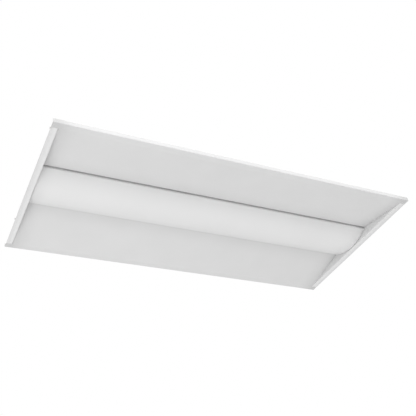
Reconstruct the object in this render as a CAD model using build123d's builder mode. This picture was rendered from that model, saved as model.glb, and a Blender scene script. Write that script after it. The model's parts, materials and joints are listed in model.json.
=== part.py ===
from build123d import *
from math import sqrt
import os

os.makedirs("parts", exist_ok=True)

# Lay-in ceiling light for a 1219 x 610 mm grid cell. Millimetres. X runs along the light, Y across
# it, Z up. The origin is the centre of the flange undersides, the face that rests on the grid.

# ---------------------------------------------------------------- overall sizes
overall_length = 1213.0
overall_width = 603.0
overall_height = 83.0  # flange underside to the top of the end plates' rims
sheet = 0.6  # steel sheet of the pan, wings, tray, bridges and end plates
bend = 1.5  # outside radius of a fold

# ---------------------------------------------------------------- rim of the light
end_flange = 20.0
flange_bend = 3.0  # soft fold between an end flange and the end wall
side_flange = 21.5
side_height = 14.0  # upright edge along each long side
lip_drop = 1.0  # the wing's lip stops this far under the pan's shoulder
corner_gap = 1.0  # between an end flange and the side flanges
end_rim = 15.0  # overlap of an end plate's rim on the pan
rim_start = 4.0  # the rim begins this far up the pan's slope
wall_foot_rise = 1.0  # straight foot of the end wall above its bend

# ---------------------------------------------------------------- pan
shoulder_width = 26.5
pan_slope_run = 62.0
bead_place = 92.0  # stiffening beads in the roof, from the centre line
bead_width = 16.0
bead_depth = 3.0
bead_flank = 3.0

# ---------------------------------------------------------------- wings
wing_rise = 32.0  # height of a wing's inner edge
wing_edge = 92.0  # half the distance between the two inner edges
wing_leg = 14.0
ledge_width = 16.0
ledge_screw_place = 8.8  # ledge screws, from the wing's inner edge
wing_end_gap = 0.3

# ---------------------------------------------------------------- lens door
lens_gap = 4.5  # between a wing's inner edge and the lens
lens_low = 5.0  # lowest point of the lens above the flange
lens_sink = 4.5  # lens corner below the wing's inner edge
lens_wall = 2.0
lens_leg = 16.5
hook_width = 6.5
corner_round = 4.0
lens_end_gap = 1.5
cap_wall = 2.5
cap_recess = 0.5
cap_fit = 0.2
rail_sheet = 1.0
rail_lift = 6.5  # rail foot above the lens corner
rail_foot = 10.0
lug_length = 12.0
lug_height = 5.0
lug_margin = 1.0  # cap lug to the upright of the rail

# ---------------------------------------------------------------- door hinge
hinge_inset = 4.5  # hinge axis from the lens's outer face
hinge_lift = 6.0  # hinge axis above the lens corner
pin_radius = 2.0
running_fit = 0.05
press_fit = 0.02
pin_head_radius = 3.2
pin_head = 1.2
pin_end_play = 0.4
bush_wall = 1.5
bush_flange_radius = 5.0
bush_flange = 1.0
bush_tail = 1.5

# ---------------------------------------------------------------- spring catches
catch_sheet = 0.4
catch_width = 12.0
catch_inset = 60.0  # from the end wall
catch_gap = 0.5  # nose to lens leg
catch_top = 0.5  # top of the strip under the wing's ledge
catch_flat = 6.0  # flat that the rivet holds
catch_nose = 5.0  # nose above the wing's inner edge
catch_tail = 2.0  # end of the strip above the wing's inner edge
catch_tail_gap = 0.3
catch_bend = 0.8
rivet_drop = 3.5  # rivet under the wing's ledge
rivet_radius = 1.2
rivet_head_radius = 2.2
rivet_tail_radius = 1.9
rivet_head = 0.8

# ---------------------------------------------------------------- tray and bridges
tray_flat = 62.0  # half width of the flat that carries the boards
tray_end_gap = 1.0
tray_inset = 1.0  # tray fold behind the wing's inner edge
bridge_height = 13.2
bridge_width = 30.0
bridge_foot = 12.0
bridge_length = 110.0
bridge_count = 4
bridge_screw_place = 38.0
tray_screw_place = 10.0

# ---------------------------------------------------------------- light boards
row_place = 30.0
board_width = 24.0
board_thickness = 1.6
board_gap = 6.0
board_end_margin = 22.5
board_corner = 1.5
package_length = 3.5
package_width = 2.8
package_height = 0.7
package_count = 36
package_margin_inner = 26.0
package_margin_outer = 8.0
board_screw_offset = 8.0
board_screw_count = 4
plug_length = 10.0
plug_width = 8.0
plug_height = 4.5
plug_inset = 6.0
plug_offset = 7.0
pole_pitch = 4.0
plug_grip = 5.0  # how far a lead goes into a plug
plug_bend = 4.0
board_lead_radius = 0.8
lead_fit = 0.3
hole_spare = 1.0  # a lead's hole is this much deeper than the lead goes
light_lead_bend = 12.0
jumper_loop = 4.0  # loop of the board jumper past the plug
jumper_bend = 3.5
saddle_length = 14.0
saddle_width = 8.0
saddle_inset = 16.0  # from the edge of the tray's flat
saddle_wall = 1.2
saddle_round = 1.5
grommet_hole = 5.0
grommet_bore = 3.4
grommet_flange = 1.5
grommet_thickness = 1.2
lead_pair = 1.6  # half distance between the two leads in the grommet

# ---------------------------------------------------------------- driver
driver_length = 280.0
driver_width = 42.0
driver_height = 28.0
driver_wall = 0.8
driver_ear = 12.0
driver_inner = 60.0  # output end, from the light's middle
driver_offset = 22.0  # from the tray's lip
driver_board_gap = 1.9
driver_board_side = 0.8  # board to the can's wall
ear_corner = 3.0
can_round = 1.2
driver_terminal_length = 14.0
driver_terminal_width = 22.0
driver_terminal_height = 12.0
driver_pole_pitch = 5.0
terminal_grip = 8.0
mains_lead_radius = 1.1
window_fit = 0.1
mains_lead_bend = 10.0
# wound blocks on the board: place from the driver's middle, then length, width and height
driver_blocks = (
    ((-88, 0), (22, 18, 16)),
    ((-20, -2), (30, 26, 20)),
    ((46, 4), (18, 16, 14)),
    ((94, -8), (14, 10, 12)),
)
block_corner = 2.0
# capacitors on the board: place from the driver's middle, radius and height
driver_capacitors = (
    ((-58, 6), 6.5, 20),
    ((-58, -9), 4.0, 14),
    ((20, 8), 6.5, 20),
    ((74, 6), 5.0, 16),
    ((102, 9), 4.0, 12),
)

# ---------------------------------------------------------------- supply side
supply_gap = 30.0  # driver to terminal block
supply_length = 22.0
supply_width = 30.0
supply_height = 20.0
supply_pitch = 10.0
supply_hole = 2.2  # mouths for the building's wires
supply_round = 1.0
hatch_gap = 12.0  # terminal block to roof opening
hatch_length = 96.0
hatch_width = 62.0
hatch_lap = 9.0
hatch_corner = 6.0
plate_corner = 4.0
hatch_screw_inset = 4.5
conduit_radius = 11.1
conduit_place = 22.0
knockout_kerf = 0.15
row_knockout_place = 150.0
row_knockout_height = 48.0
earth_offset = 27.0
earth_ring_radius = 4.5
earth_ring_thickness = 0.8
earth_lead_bend = 3.3
earth_run = 6.0  # the earth lead climbs to its ring over this width
earth_ring_grip = 1.5  # the lead's end over the ring
earth_ring_gap = 0.1

# ---------------------------------------------------------------- fasteners and hangers
screw_radius = 1.75
screw_head_radius = 3.5
screw_head = 2.0
screw_length = 7.0
screw_fit = 0.1
small_screw_radius = 1.5
small_screw_head_radius = 2.8
small_screw_head = 1.6
small_screw_length = 5.0
supply_screw_spare = 2.5  # the terminal's screw reaches this far above the roof's underside
wing_screw_count = 6
wing_screw_margin = 45.0  # last ledge screw from the tray's end
rim_screw_place = 80.0
hanger_hole = 3.2
hanger_place = 190.0

# ---------------------------------------------------------------- grid clips
clip_place = 220.0
clip_base = 42.0
clip_height = 16.0
clip_arm = 50.0
clip_sheet = 1.0
clip_offset = 4.0  # pivot from the end wall's outer face
clip_knuckle = 3.0
clip_pin_radius = 1.5
clip_pin_head = 2.6
clip_pin_head_height = 1.0
clip_gap = 0.3
clip_lug = 8.0
clip_tip_round = 4.0
clip_hole = 2.0
clip_hole_inset = 9.0

# ---------------------------------------------------------------- worked-out places
half_length = overall_length / 2
half_width = overall_width / 2
wall_x = half_length - end_flange
roof_top = overall_height - sheet
roof_under = roof_top - sheet
wing_foot = half_width - side_flange
ledge_top = wing_rise + wing_leg
ledge_screw_y = wing_edge + ledge_screw_place
shoulder_y = half_width - shoulder_width
roof_half = shoulder_y - pan_slope_run
pan_slope = Vector(0, -pan_slope_run, roof_top - side_height).normalized()
rim_foot = (-shoulder_y - rim_start * pan_slope.Y, side_height + rim_start * pan_slope.Z)
tray_under = roof_under - bridge_height - sheet
tray_top = tray_under + sheet
tray_half = wall_x - tray_end_gap
tray_fold = wing_edge + tray_inset
tray_lip = wing_edge + ledge_width

lens_edge = wing_edge - lens_gap
lens_corner = wing_rise - lens_sink
lens_sag = lens_corner - lens_low
lens_radius = (lens_edge**2 + lens_sag**2) / (2 * lens_sag)
lens_centre = lens_low + lens_radius
lens_half = wall_x - lens_end_gap
hook_top = lens_corner + lens_leg
hook_under = hook_top - lens_wall
leg_inner = lens_edge - lens_wall
cap_outer = lens_half - cap_recess
cap_inner = cap_outer - cap_wall
rail_z = lens_corner + rail_lift
hinge_y = lens_edge - hinge_inset
hinge_z = lens_corner + hinge_lift

driver_y = tray_lip + driver_offset + driver_width / 2
driver_near = -driver_inner
driver_far = driver_near - driver_length
driver_middle = (driver_near + driver_far) / 2
board_z = roof_under - driver_wall - driver_board_gap - board_thickness
lead_z = board_z - driver_terminal_height / 2
supply_near = driver_far - supply_gap
supply_far = supply_near - supply_length
hatch_near = supply_far - hatch_gap
hatch_x = hatch_near - hatch_length / 2


def spaced(count, reach):
    """Evenly spaced places from -reach to reach."""
    return [reach * (2 * index / (count - 1) - 1) for index in range(count)]


def both_sides(points):
    """A left-hand run of (y, z) points, followed by its mirror image."""
    return points + [(-y, z) for y, z in reversed(points)]


def folded(points, radius=bend, side=Side.LEFT, thickness=sheet):
    """Section of a folded sheet that has one face through the points."""
    with BuildLine() as fold:
        FilletPolyline(*points, radius=radius)
        offset(amount=thickness, side=side)
    make_face(fold.edges())


def finish(piece, name):
    """Label a finished piece and write its file."""
    piece.part.label = name
    export_step(piece.part, f"parts/{name}.step")


def mirrored(piece, plane):
    """A mirror image of a piece about a plane."""
    with BuildPart() as image:
        mirror(piece.part, about=plane)
    return image


def pan_head_screw(radius, head_radius, head, length):
    """Pan-head screw standing on XY, head up, with a cross recess."""
    with BuildPart() as screw:
        with BuildSketch():
            Circle(head_radius)
        extrude(amount=head)
        fillet(screw.edges().sort_by(Axis.Z)[-1], 0.6 * head)
        with BuildSketch():
            Circle(radius)
        extrude(amount=-length)
        chamfer(screw.edges().sort_by(Axis.Z)[0], 0.5 * radius)
        with BuildSketch(Plane.XY.offset(head)):
            Rectangle(1.1 * head_radius, 0.25 * head_radius)
            Rectangle(0.25 * head_radius, 1.1 * head_radius)
        extrude(amount=-0.55 * head, mode=Mode.SUBTRACT)
    return screw


def group(piece, planes):
    """Copies of one piece, one standing on each plane."""
    with BuildPart() as copies:
        with Locations(*[Location(plane) for plane in planes]):
            add(piece.part)
    return copies


def lead(points, radii, radius):
    """Round lead along straight runs, joined by an arc at each inner point."""
    with BuildPart() as wire:
        with BuildLine() as route:
            if radii:
                FilletPolyline(*points, radius=radii)
            else:
                Line(*points)
        start = Plane(route.line @ 0, z_dir=route.line % 0)
        with BuildSketch(start):
            Circle(radius)
        sweep(path=route.line)
    return wire


# ---------------------------------------------------------------- where the fasteners stand
screw_hole = screw_radius + screw_fit
small_hole = small_screw_radius + screw_fit
sheet_screw = pan_head_screw(screw_radius, screw_head_radius, screw_head, screw_length)
small_screw = pan_head_screw(
    small_screw_radius, small_screw_head_radius, small_screw_head, small_screw_length
)
wing_screw_x = spaced(wing_screw_count, tray_half - wing_screw_margin)
bridge_x = [tray_half * (2 * index + 1 - bridge_count) / bridge_count for index in range(bridge_count)]
tray_screws_xy = [
    (x + end * (bridge_width + bridge_foot) / 2, end * tray_screw_place)
    for x in bridge_x
    for end in (-1, 1)
]
bridge_screws_xy = [(x, end * bridge_screw_place) for x in bridge_x for end in (-1, 1)]
rim_x = wall_x - end_rim / 2
rim_screws_xy = [(end * rim_x, side * rim_screw_place) for end in (-1, 1) for side in (-1, 1)]
hanger_xy = [(end * rim_x, side * hanger_place) for end in (-1, 1) for side in (-1, 1)]
driver_screws_xy = [
    (driver_near + driver_ear / 2, driver_y),
    (driver_far - driver_ear / 2, driver_y),
]
hatch_screws_xy = [
    (hatch_x + end * (hatch_length / 2 + hatch_screw_inset), driver_y) for end in (-1, 1)
]
supply_screw_xy = (supply_far + supply_length / 2, driver_y + supply_pitch / 2)
earth_x = supply_near + supply_gap / 2
earth_y = driver_y + earth_offset

# ---------------------------------------------------------------- wings
catch_x = [-(wall_x - catch_inset), wall_x - catch_inset]
rivet_z = ledge_top - rivet_drop
wing_end = wall_x - wing_end_gap

with BuildPart() as wing_blank:
    with BuildSketch(Plane.YZ):
        folded(
            [
                (-half_width, side_height - lip_drop),
                (-half_width, 0),
                (-wing_foot, 0),
                (-wing_edge, wing_rise),
                (-wing_edge, ledge_top),
                (-tray_lip, ledge_top),
            ]
        )
    extrude(amount=half_length, both=True)
    with BuildSketch(Plane.XY):
        for end in (-1, 1):
            with Locations((end * wing_end, -wing_foot)):
                Rectangle(
                    end_flange + wing_end_gap,
                    wing_foot,
                    align=(Align.MIN if end > 0 else Align.MAX, Align.MIN),
                )
    extrude(amount=overall_height, mode=Mode.SUBTRACT)
    with BuildSketch(Plane.XY.offset(ledge_top)):
        with Locations(*[(x, -ledge_screw_y) for x in wing_screw_x]):
            Circle(screw_hole)
    extrude(amount=-2 * sheet, mode=Mode.SUBTRACT)

with BuildPart() as wing_near:
    add(wing_blank.part)
    with BuildSketch(Plane.XZ.offset(wing_edge)):
        with Locations(*[(x, rivet_z) for x in catch_x]):
            Circle(rivet_radius + screw_fit)
    extrude(amount=2 * sheet, both=True, mode=Mode.SUBTRACT)
finish(wing_near, "wing_near")
wing_far = mirrored(wing_blank, Plane.XZ)
finish(wing_far, "wing_far")

# ---------------------------------------------------------------- back pan
bead_half = bead_width / 2
roof_beads = [
    (-roof_half, roof_top),
    (-bead_place - bead_half, roof_top),
    (-bead_place - bead_half + bead_flank, roof_top - bead_depth),
    (-bead_place + bead_half - bead_flank, roof_top - bead_depth),
    (-bead_place + bead_half, roof_top),
]
pan_side = [
    (-half_width + sheet, bend),
    (-half_width + sheet, side_height),
    (-shoulder_y, side_height),
]

with BuildPart() as housing_pan:
    with BuildSketch(Plane.YZ):
        folded(both_sides(pan_side + roof_beads), side=Side.RIGHT)
    extrude(amount=wall_x, both=True)
    with BuildSketch(Plane.XY.offset(roof_top + sheet)):
        with Locations(*hanger_xy):
            Circle(hanger_hole)
        with Locations(*rim_screws_xy, *bridge_screws_xy, *hatch_screws_xy):
            Circle(screw_hole)
        with Locations(*driver_screws_xy, supply_screw_xy, (earth_x, earth_y)):
            Circle(small_hole)
        with Locations((hatch_x, driver_y)):
            RectangleRounded(hatch_length, hatch_width, hatch_corner)
    extrude(amount=-3 * sheet, mode=Mode.SUBTRACT)
    slope_out = Vector(0, pan_slope.Z, -pan_slope.Y)
    slope_mid = Vector(0, shoulder_y - pan_slope_run / 2, (side_height + roof_top) / 2)
    slope_planes = [
        Plane(
            origin=(end * rim_x, side * slope_mid.Y, slope_mid.Z),
            x_dir=(1, 0, 0),
            z_dir=(0, side * slope_out.Y, slope_out.Z),
        )
        for end in (-1, 1)
        for side in (-1, 1)
    ]
    with BuildSketch(*[plane.offset(2 * sheet) for plane in slope_planes]):
        Circle(screw_hole)
    extrude(amount=-4 * sheet, mode=Mode.SUBTRACT)
finish(housing_pan, "housing_pan")

# ---------------------------------------------------------------- end plates
flange_half = wing_foot - corner_gap
wall_foot = flange_bend + wall_foot_rise
clip_x = wall_x + sheet + clip_offset
clip_top = clip_base + clip_height

with BuildPart() as end_plate_right:
    # flange and the foot of the wall
    with BuildSketch(Plane.XZ):
        folded(
            [(wall_x, wall_foot), (wall_x, 0), (half_length, 0)],
            radius=flange_bend,
        )
    extrude(amount=flange_half, both=True)
    # wall, with the shape of the pan's outside
    outline = [
        (-flange_half, wall_foot),
        (-flange_half, sheet),
        (-half_width + bend, sheet),
        (-half_width + bend, side_height),
        (-shoulder_y, side_height),
        (-roof_half, roof_top),
    ]
    with BuildSketch(Plane.YZ.offset(wall_x)):
        Polygon(*both_sides(outline), align=None)
    extrude(amount=sheet)
    # rim that laps the pan
    with BuildSketch(Plane.YZ.offset(wall_x + sheet)):
        folded(both_sides([rim_foot, (-roof_half, roof_top)]))
    extrude(amount=-(end_rim + sheet))
    # lugs for the grid clips' pins
    for lug_z in (clip_base - sheet, clip_top):
        with BuildSketch(Plane.XY.offset(lug_z)):
            with Locations(*[(wall_x, side * clip_place) for side in (-1, 1)]):
                Rectangle(
                    sheet + clip_offset + clip_lug / 2, clip_lug, align=(Align.MIN, Align.CENTER)
                )
        extrude(amount=sheet)
    with BuildSketch(Plane.XY.offset(clip_base - 2 * sheet)):
        with Locations(*[(clip_x, side * clip_place) for side in (-1, 1)]):
            Circle(clip_pin_radius + running_fit)
    extrude(amount=clip_height + 4 * sheet, mode=Mode.SUBTRACT)
    # holes for the hinge bush and the row wiring knockouts
    with BuildSketch(Plane.YZ.offset(wall_x - sheet)):
        with Locations((hinge_y, hinge_z)):
            Circle(pin_radius + running_fit + bush_wall + screw_fit)
        with Locations(*[(side * row_knockout_place, row_knockout_height) for side in (-1, 1)]):
            Circle(conduit_radius)
    extrude(amount=3 * sheet, mode=Mode.SUBTRACT)
    # holes in the rim
    with BuildSketch(Plane.XY.offset(overall_height + sheet)):
        with Locations(*[place for place in hanger_xy if place[0] > 0]):
            Circle(hanger_hole)
        with Locations(*[place for place in rim_screws_xy if place[0] > 0]):
            Circle(screw_hole)
    extrude(amount=-3 * sheet, mode=Mode.SUBTRACT)
    with BuildSketch(*[plane.offset(2 * sheet) for plane in slope_planes if plane.origin.X > 0]):
        Circle(screw_hole)
    extrude(amount=-4 * sheet, mode=Mode.SUBTRACT)
finish(end_plate_right, "end_plate_right")
end_plate_left = mirrored(end_plate_right, Plane.YZ)
finish(end_plate_left, "end_plate_left")

with BuildPart() as knockouts:
    for end in (-1, 1):
        with BuildSketch(Plane.YZ.offset(end * wall_x)):
            with Locations(*[(side * row_knockout_place, row_knockout_height) for side in (-1, 1)]):
                Circle(conduit_radius - knockout_kerf)
        extrude(amount=end * sheet)
finish(knockouts, "end_knockouts")

# ---------------------------------------------------------------- reflector tray and bridges
tray_planes = [Plane(origin=(x, y, tray_under), z_dir=(0, 0, -1)) for x, y in tray_screws_xy]
board_inner = board_gap / 2
board_outer = tray_half - board_end_margin
board_screw_x = [
    board_inner + (board_outer - board_inner) * (index + 0.5) / board_screw_count
    for index in range(board_screw_count)
]
board_screw_y = row_place + board_screw_offset
board_screws_xy = [
    (end * x, side * board_screw_y) for end in (-1, 1) for side in (-1, 1) for x in board_screw_x
]

with BuildPart() as reflector_tray:
    with BuildSketch(Plane.YZ):
        folded(
            both_sides([(-tray_lip, ledge_top), (-tray_fold, ledge_top), (-tray_flat, tray_under)])
        )
    extrude(amount=tray_half, both=True)
    with BuildSketch(Plane.XY.offset(tray_under - sheet)):
        with Locations(*tray_screws_xy):
            Circle(screw_hole)
        with Locations(*board_screws_xy):
            Circle(small_hole)
        Circle(grommet_hole)
    extrude(amount=3 * sheet, mode=Mode.SUBTRACT)
    with BuildSketch(Plane.XY.offset(ledge_top - sheet)):
        with Locations(*[(x, side * ledge_screw_y) for x in wing_screw_x for side in (-1, 1)]):
            Circle(screw_hole)
    extrude(amount=3 * sheet, mode=Mode.SUBTRACT)
finish(reflector_tray, "reflector_tray")

with BuildPart() as bridge:
    half_bridge = bridge_width / 2
    with BuildSketch(Plane.XZ):
        folded(
            both_sides(
                [
                    (-half_bridge - bridge_foot, tray_top + sheet),
                    (-half_bridge, tray_top + sheet),
                    (-half_bridge, roof_under),
                ]
            ),
            side=Side.RIGHT,
        )
    extrude(amount=bridge_length / 2, both=True)
    with BuildSketch(Plane.XY.offset(roof_under + sheet)):
        with Locations(*[(0, side * bridge_screw_place) for side in (-1, 1)]):
            Circle(screw_hole)
    extrude(amount=-3 * sheet, mode=Mode.SUBTRACT)
    with BuildSketch(Plane.XY.offset(tray_top - sheet)):
        with Locations(
            *[
                (end * (bridge_width + bridge_foot) / 2, end * tray_screw_place)
                for end in (-1, 1)
            ]
        ):
            Circle(screw_hole)
    extrude(amount=3 * sheet, mode=Mode.SUBTRACT)
tray_bridges = group(bridge, [Plane(origin=(x, 0, 0)) for x in bridge_x])
finish(tray_bridges, "tray_bridges")

# ---------------------------------------------------------------- light boards
package_first = board_inner + package_margin_inner
package_last = board_outer - package_margin_outer
package_pitch = (package_last - package_first) / (package_count - 1)
plug_x = board_inner + plug_inset
plug_y = row_place - plug_offset
plug_z = tray_under - board_thickness - plug_height / 2
row_names = {-1: "near", 1: "far"}
end_names = {-1: "left", 1: "right"}

for side, row in row_names.items():
    for end, hand in end_names.items():
        with BuildPart() as board:
            with BuildSketch(Plane.XY.offset(tray_under)):
                with Locations((end * (board_inner + board_outer) / 2, side * row_place)):
                    RectangleRounded(board_outer - board_inner, board_width, board_corner)
                with Locations(*[(end * x, side * board_screw_y) for x in board_screw_x]):
                    Circle(small_hole, mode=Mode.SUBTRACT)
            extrude(amount=-board_thickness)
        finish(board, f"light_board_{row}_{hand}")

with BuildPart() as packages:
    with BuildSketch(Plane.XY.offset(tray_under - board_thickness)):
        with Locations(
            *[
                (end * (package_first + index * package_pitch), side * row_place)
                for index in range(package_count)
                for end in (-1, 1)
                for side in (-1, 1)
            ]
        ):
            Rectangle(package_length, package_width)
    extrude(amount=-package_height)
finish(packages, "light_packages")

with BuildPart() as plugs:
    with BuildSketch(Plane.XY.offset(tray_under - board_thickness)):
        with Locations(
            *[
                (end * (plug_x + plug_length / 2), side * plug_y)
                for end in (-1, 1)
                for side in (-1, 1)
            ]
        ):
            Rectangle(plug_length, plug_width)
    extrude(amount=-plug_height)
    for end in (-1, 1):
        with BuildSketch(Plane.YZ.offset(end * plug_x)):
            with Locations(
                *[
                    (side * plug_y + pole * pole_pitch / 2, plug_z)
                    for side in (-1, 1)
                    for pole in (-1, 1)
                ]
            ):
                Circle(board_lead_radius + lead_fit)
        extrude(amount=end * (plug_grip + hole_spare), mode=Mode.SUBTRACT)
finish(plugs, "board_plugs")

board_screw_planes = [
    Plane(origin=(x, y, tray_under - board_thickness), z_dir=(0, 0, -1))
    for x, y in board_screws_xy
]
board_screws = group(small_screw, board_screw_planes)
finish(board_screws, "board_screws")

with BuildPart() as grommet:
    for ring_z, ring_radius, ring_height in (
        (tray_under - grommet_thickness, grommet_hole + grommet_flange, grommet_thickness),
        (tray_under, grommet_hole - screw_fit, sheet),
        (tray_top, grommet_hole + grommet_flange, grommet_thickness),
    ):
        with BuildSketch(Plane.XY.offset(ring_z)):
            Circle(ring_radius)
            Circle(grommet_bore, mode=Mode.SUBTRACT)
        extrude(amount=ring_height)
finish(grommet, "tray_grommet")

# ---------------------------------------------------------------- driver
ear_length = driver_length + 2 * driver_ear
base_z = roof_under - driver_wall
can_floor = roof_under - driver_height
board_side = driver_wall + driver_board_side

with BuildPart() as driver_base:
    with BuildSketch(Plane.XY.offset(roof_under)):
        with Locations((driver_middle, driver_y)):
            RectangleRounded(ear_length, driver_width, ear_corner)
        with Locations(*driver_screws_xy):
            Circle(small_hole, mode=Mode.SUBTRACT)
    extrude(amount=-driver_wall)
finish(driver_base, "driver_base")

with BuildPart() as driver_can:
    with BuildSketch(Plane.XY.offset(can_floor)):
        with Locations((driver_middle, driver_y)):
            Rectangle(driver_length, driver_width)
    extrude(amount=base_z - can_floor)
    fillet(driver_can.edges().group_by(Axis.Z)[0], can_round)
    with BuildSketch(Plane.XY.offset(can_floor + driver_wall)):
        with Locations((driver_middle, driver_y)):
            Rectangle(driver_length - 2 * driver_wall, driver_width - 2 * driver_wall)
    extrude(amount=driver_height, mode=Mode.SUBTRACT)
    with BuildSketch(Plane.YZ.offset(driver_middle)):
        with Locations((driver_y, lead_z)):
            Rectangle(
                driver_terminal_width + 2 * window_fit, driver_terminal_height + 2 * window_fit
            )
    extrude(amount=driver_length, both=True, mode=Mode.SUBTRACT)
finish(driver_can, "driver_can")

with BuildPart() as driver_board:
    with BuildSketch(Plane.XY.offset(board_z)):
        with Locations((driver_middle, driver_y)):
            Rectangle(driver_length - 2 * board_side, driver_width - 2 * board_side)
    extrude(amount=board_thickness)
finish(driver_board, "driver_board")

with BuildPart() as driver_parts:
    for place, size in driver_blocks:
        with BuildSketch(Plane.XY.offset(board_z)):
            with Locations((driver_middle + place[0], driver_y + place[1])):
                RectangleRounded(size[0], size[1], block_corner)
        extrude(amount=-size[2])
    for place, radius, height in driver_capacitors:
        with BuildSketch(Plane.XY.offset(board_z)):
            with Locations((driver_middle + place[0], driver_y + place[1])):
                Circle(radius)
        extrude(amount=-height)
finish(driver_parts, "driver_components")

input_poles = [driver_y + driver_pole_pitch * step for step in (-1, 0, 1)]
output_poles = [driver_y + driver_pole_pitch * step for step in (-1.5, -0.5, 0.5, 1.5)]

with BuildPart() as driver_terminals:
    for end_x, inward, poles in (
        (driver_far, 1, input_poles),
        (driver_near, -1, output_poles),
    ):
        with BuildSketch(Plane.YZ.offset(end_x)):
            with Locations((driver_y, lead_z)):
                Rectangle(driver_terminal_width, driver_terminal_height)
        extrude(amount=inward * driver_terminal_length)
        with BuildSketch(Plane.YZ.offset(end_x)):
            with Locations(*[(y, lead_z) for y in poles]):
                Circle(mains_lead_radius + lead_fit)
        extrude(amount=inward * (terminal_grip + hole_spare), mode=Mode.SUBTRACT)
finish(driver_terminals, "driver_terminals")

driver_screws = group(
    small_screw,
    [Plane(origin=(x, y, base_z), z_dir=(0, 0, -1)) for x, y in driver_screws_xy],
)
finish(driver_screws, "driver_screws")

# ---------------------------------------------------------------- supply terminal and earth
supply_poles = [driver_y + supply_pitch * step for step in (-1, 0, 1)]

with BuildPart() as supply_terminal:
    with BuildSketch(Plane.XY.offset(roof_under)):
        with Locations(((supply_near + supply_far) / 2, driver_y)):
            Rectangle(supply_length, supply_width)
    extrude(amount=-supply_height)
    fillet(supply_terminal.edges().group_by(Axis.Z)[0], supply_round)
    with BuildSketch(Plane.YZ.offset(supply_near)):
        with Locations(*[(y, lead_z) for y in supply_poles]):
            Circle(mains_lead_radius + lead_fit)
    extrude(amount=-(terminal_grip + hole_spare), mode=Mode.SUBTRACT)
    with BuildSketch(Plane.YZ.offset(supply_far)):
        with Locations(*[(y, lead_z) for y in supply_poles]):
            Circle(supply_hole)
    extrude(amount=terminal_grip, mode=Mode.SUBTRACT)
    with BuildSketch(Plane.XY.offset(roof_under)):
        with Locations(supply_screw_xy):
            Circle(small_hole)
    extrude(amount=-supply_height, mode=Mode.SUBTRACT)
finish(supply_terminal, "supply_terminal")

with BuildPart() as long_screw:
    with BuildSketch():
        Circle(small_screw_head_radius)
    extrude(amount=small_screw_head)
    with BuildSketch():
        Circle(small_screw_radius)
    extrude(amount=-(supply_height + supply_screw_spare))
supply_screw = group(
    long_screw, [Plane(origin=(*supply_screw_xy, roof_under - supply_height), z_dir=(0, 0, -1))]
)
finish(supply_screw, "supply_screw")

with BuildPart() as earth_ring:
    with BuildSketch(Plane.XY.offset(roof_under)):
        with Locations((earth_x, earth_y)):
            Circle(earth_ring_radius)
            Circle(small_hole, mode=Mode.SUBTRACT)
    extrude(amount=-earth_ring_thickness)
finish(earth_ring, "earth_ring")

earth_screw = group(
    small_screw, [Plane(origin=(earth_x, earth_y, roof_under - earth_ring_thickness), z_dir=(0, 0, -1))]
)
finish(earth_screw, "earth_screw")

# ---------------------------------------------------------------- leads
for name, pole in (("lead_live", 0), ("lead_neutral", 1)):
    start_y = supply_poles[pole]
    end_y = input_poles[pole]
    route = [
        (supply_near - terminal_grip, start_y, lead_z),
        (supply_near + supply_gap / 3, start_y, lead_z),
        (driver_far - supply_gap / 3, end_y, lead_z),
        (driver_far + terminal_grip, end_y, lead_z),
    ]
    if start_y == end_y:
        wire = lead([route[0], route[-1]], [], mains_lead_radius)
    else:
        wire = lead(route, [mains_lead_bend, mains_lead_bend], mains_lead_radius)
    finish(wire, name)

ring_edge = earth_y - earth_ring_radius
ring_z = roof_under - mains_lead_radius - earth_ring_thickness - earth_ring_gap
earth_route = [
    (supply_near - terminal_grip, supply_poles[2], lead_z),
    (earth_x, supply_poles[2], lead_z),
    (earth_x, supply_poles[2] + earth_run, ring_z),
    (earth_x, ring_edge + earth_ring_grip, ring_z),
]
earth_lead = lead(earth_route, [earth_lead_bend, earth_lead_bend], mains_lead_radius)
finish(earth_lead, "lead_earth")

# through the grommet the leads make one smooth S, so each bend is nearly half the drop
drop_radius = 0.48 * (lead_z - plug_z)
for name, offset_x, side, output in (("lead_red", -lead_pair, -1, 0), ("lead_black", lead_pair, 1, 1)):
    pole_y = output_poles[output]
    plug_pole_y = side * (plug_y - pole_pitch / 2)
    route = [
        (driver_near - terminal_grip, pole_y, lead_z),
        (offset_x, pole_y, lead_z),
        (offset_x, 0, lead_z),
        (offset_x, 0, plug_z),
        (offset_x, plug_pole_y, plug_z),
        (-plug_x - plug_grip, plug_pole_y, plug_z),
    ]
    wire = lead(route, [light_lead_bend, drop_radius, drop_radius, plug_bend], board_lead_radius)
    finish(wire, name)

with BuildPart() as jumpers:
    outer_pole = plug_y + pole_pitch / 2
    inner_pole = plug_y - pole_pitch / 2
    for side in (-1, 1):
        with BuildSketch(Plane.YZ):
            with Locations((side * outer_pole, plug_z)):
                Circle(board_lead_radius)
        extrude(amount=plug_x + plug_grip, both=True)
    cross = lead(
        [
            (plug_x + plug_grip, -inner_pole, plug_z),
            (plug_x - jumper_loop, -inner_pole, plug_z),
            (plug_x - jumper_loop, inner_pole, plug_z),
            (plug_x + plug_grip, inner_pole, plug_z),
        ],
        [jumper_bend, jumper_bend],
        board_lead_radius,
    )
    add(cross.part)
finish(jumpers, "board_jumpers")

# saddle that holds the two light leads down on the tray
with BuildPart() as lead_saddle:
    saddle_y = tray_flat - saddle_inset
    saddle_top = lead_z + board_lead_radius + saddle_wall
    with BuildSketch(Plane.XZ.offset(-saddle_y - saddle_width / 2)):
        with Locations((0, tray_top)):
            Rectangle(saddle_length, saddle_top - tray_top, align=(Align.CENTER, Align.MIN))
        with Locations(*[(end * lead_pair, lead_z) for end in (-1, 1)]):
            Circle(board_lead_radius + lead_fit, mode=Mode.SUBTRACT)
    extrude(amount=saddle_width)
    fillet(lead_saddle.edges().filter_by(Axis.Y).group_by(Axis.Z)[-1], saddle_round)
finish(lead_saddle, "lead_saddle")

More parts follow.
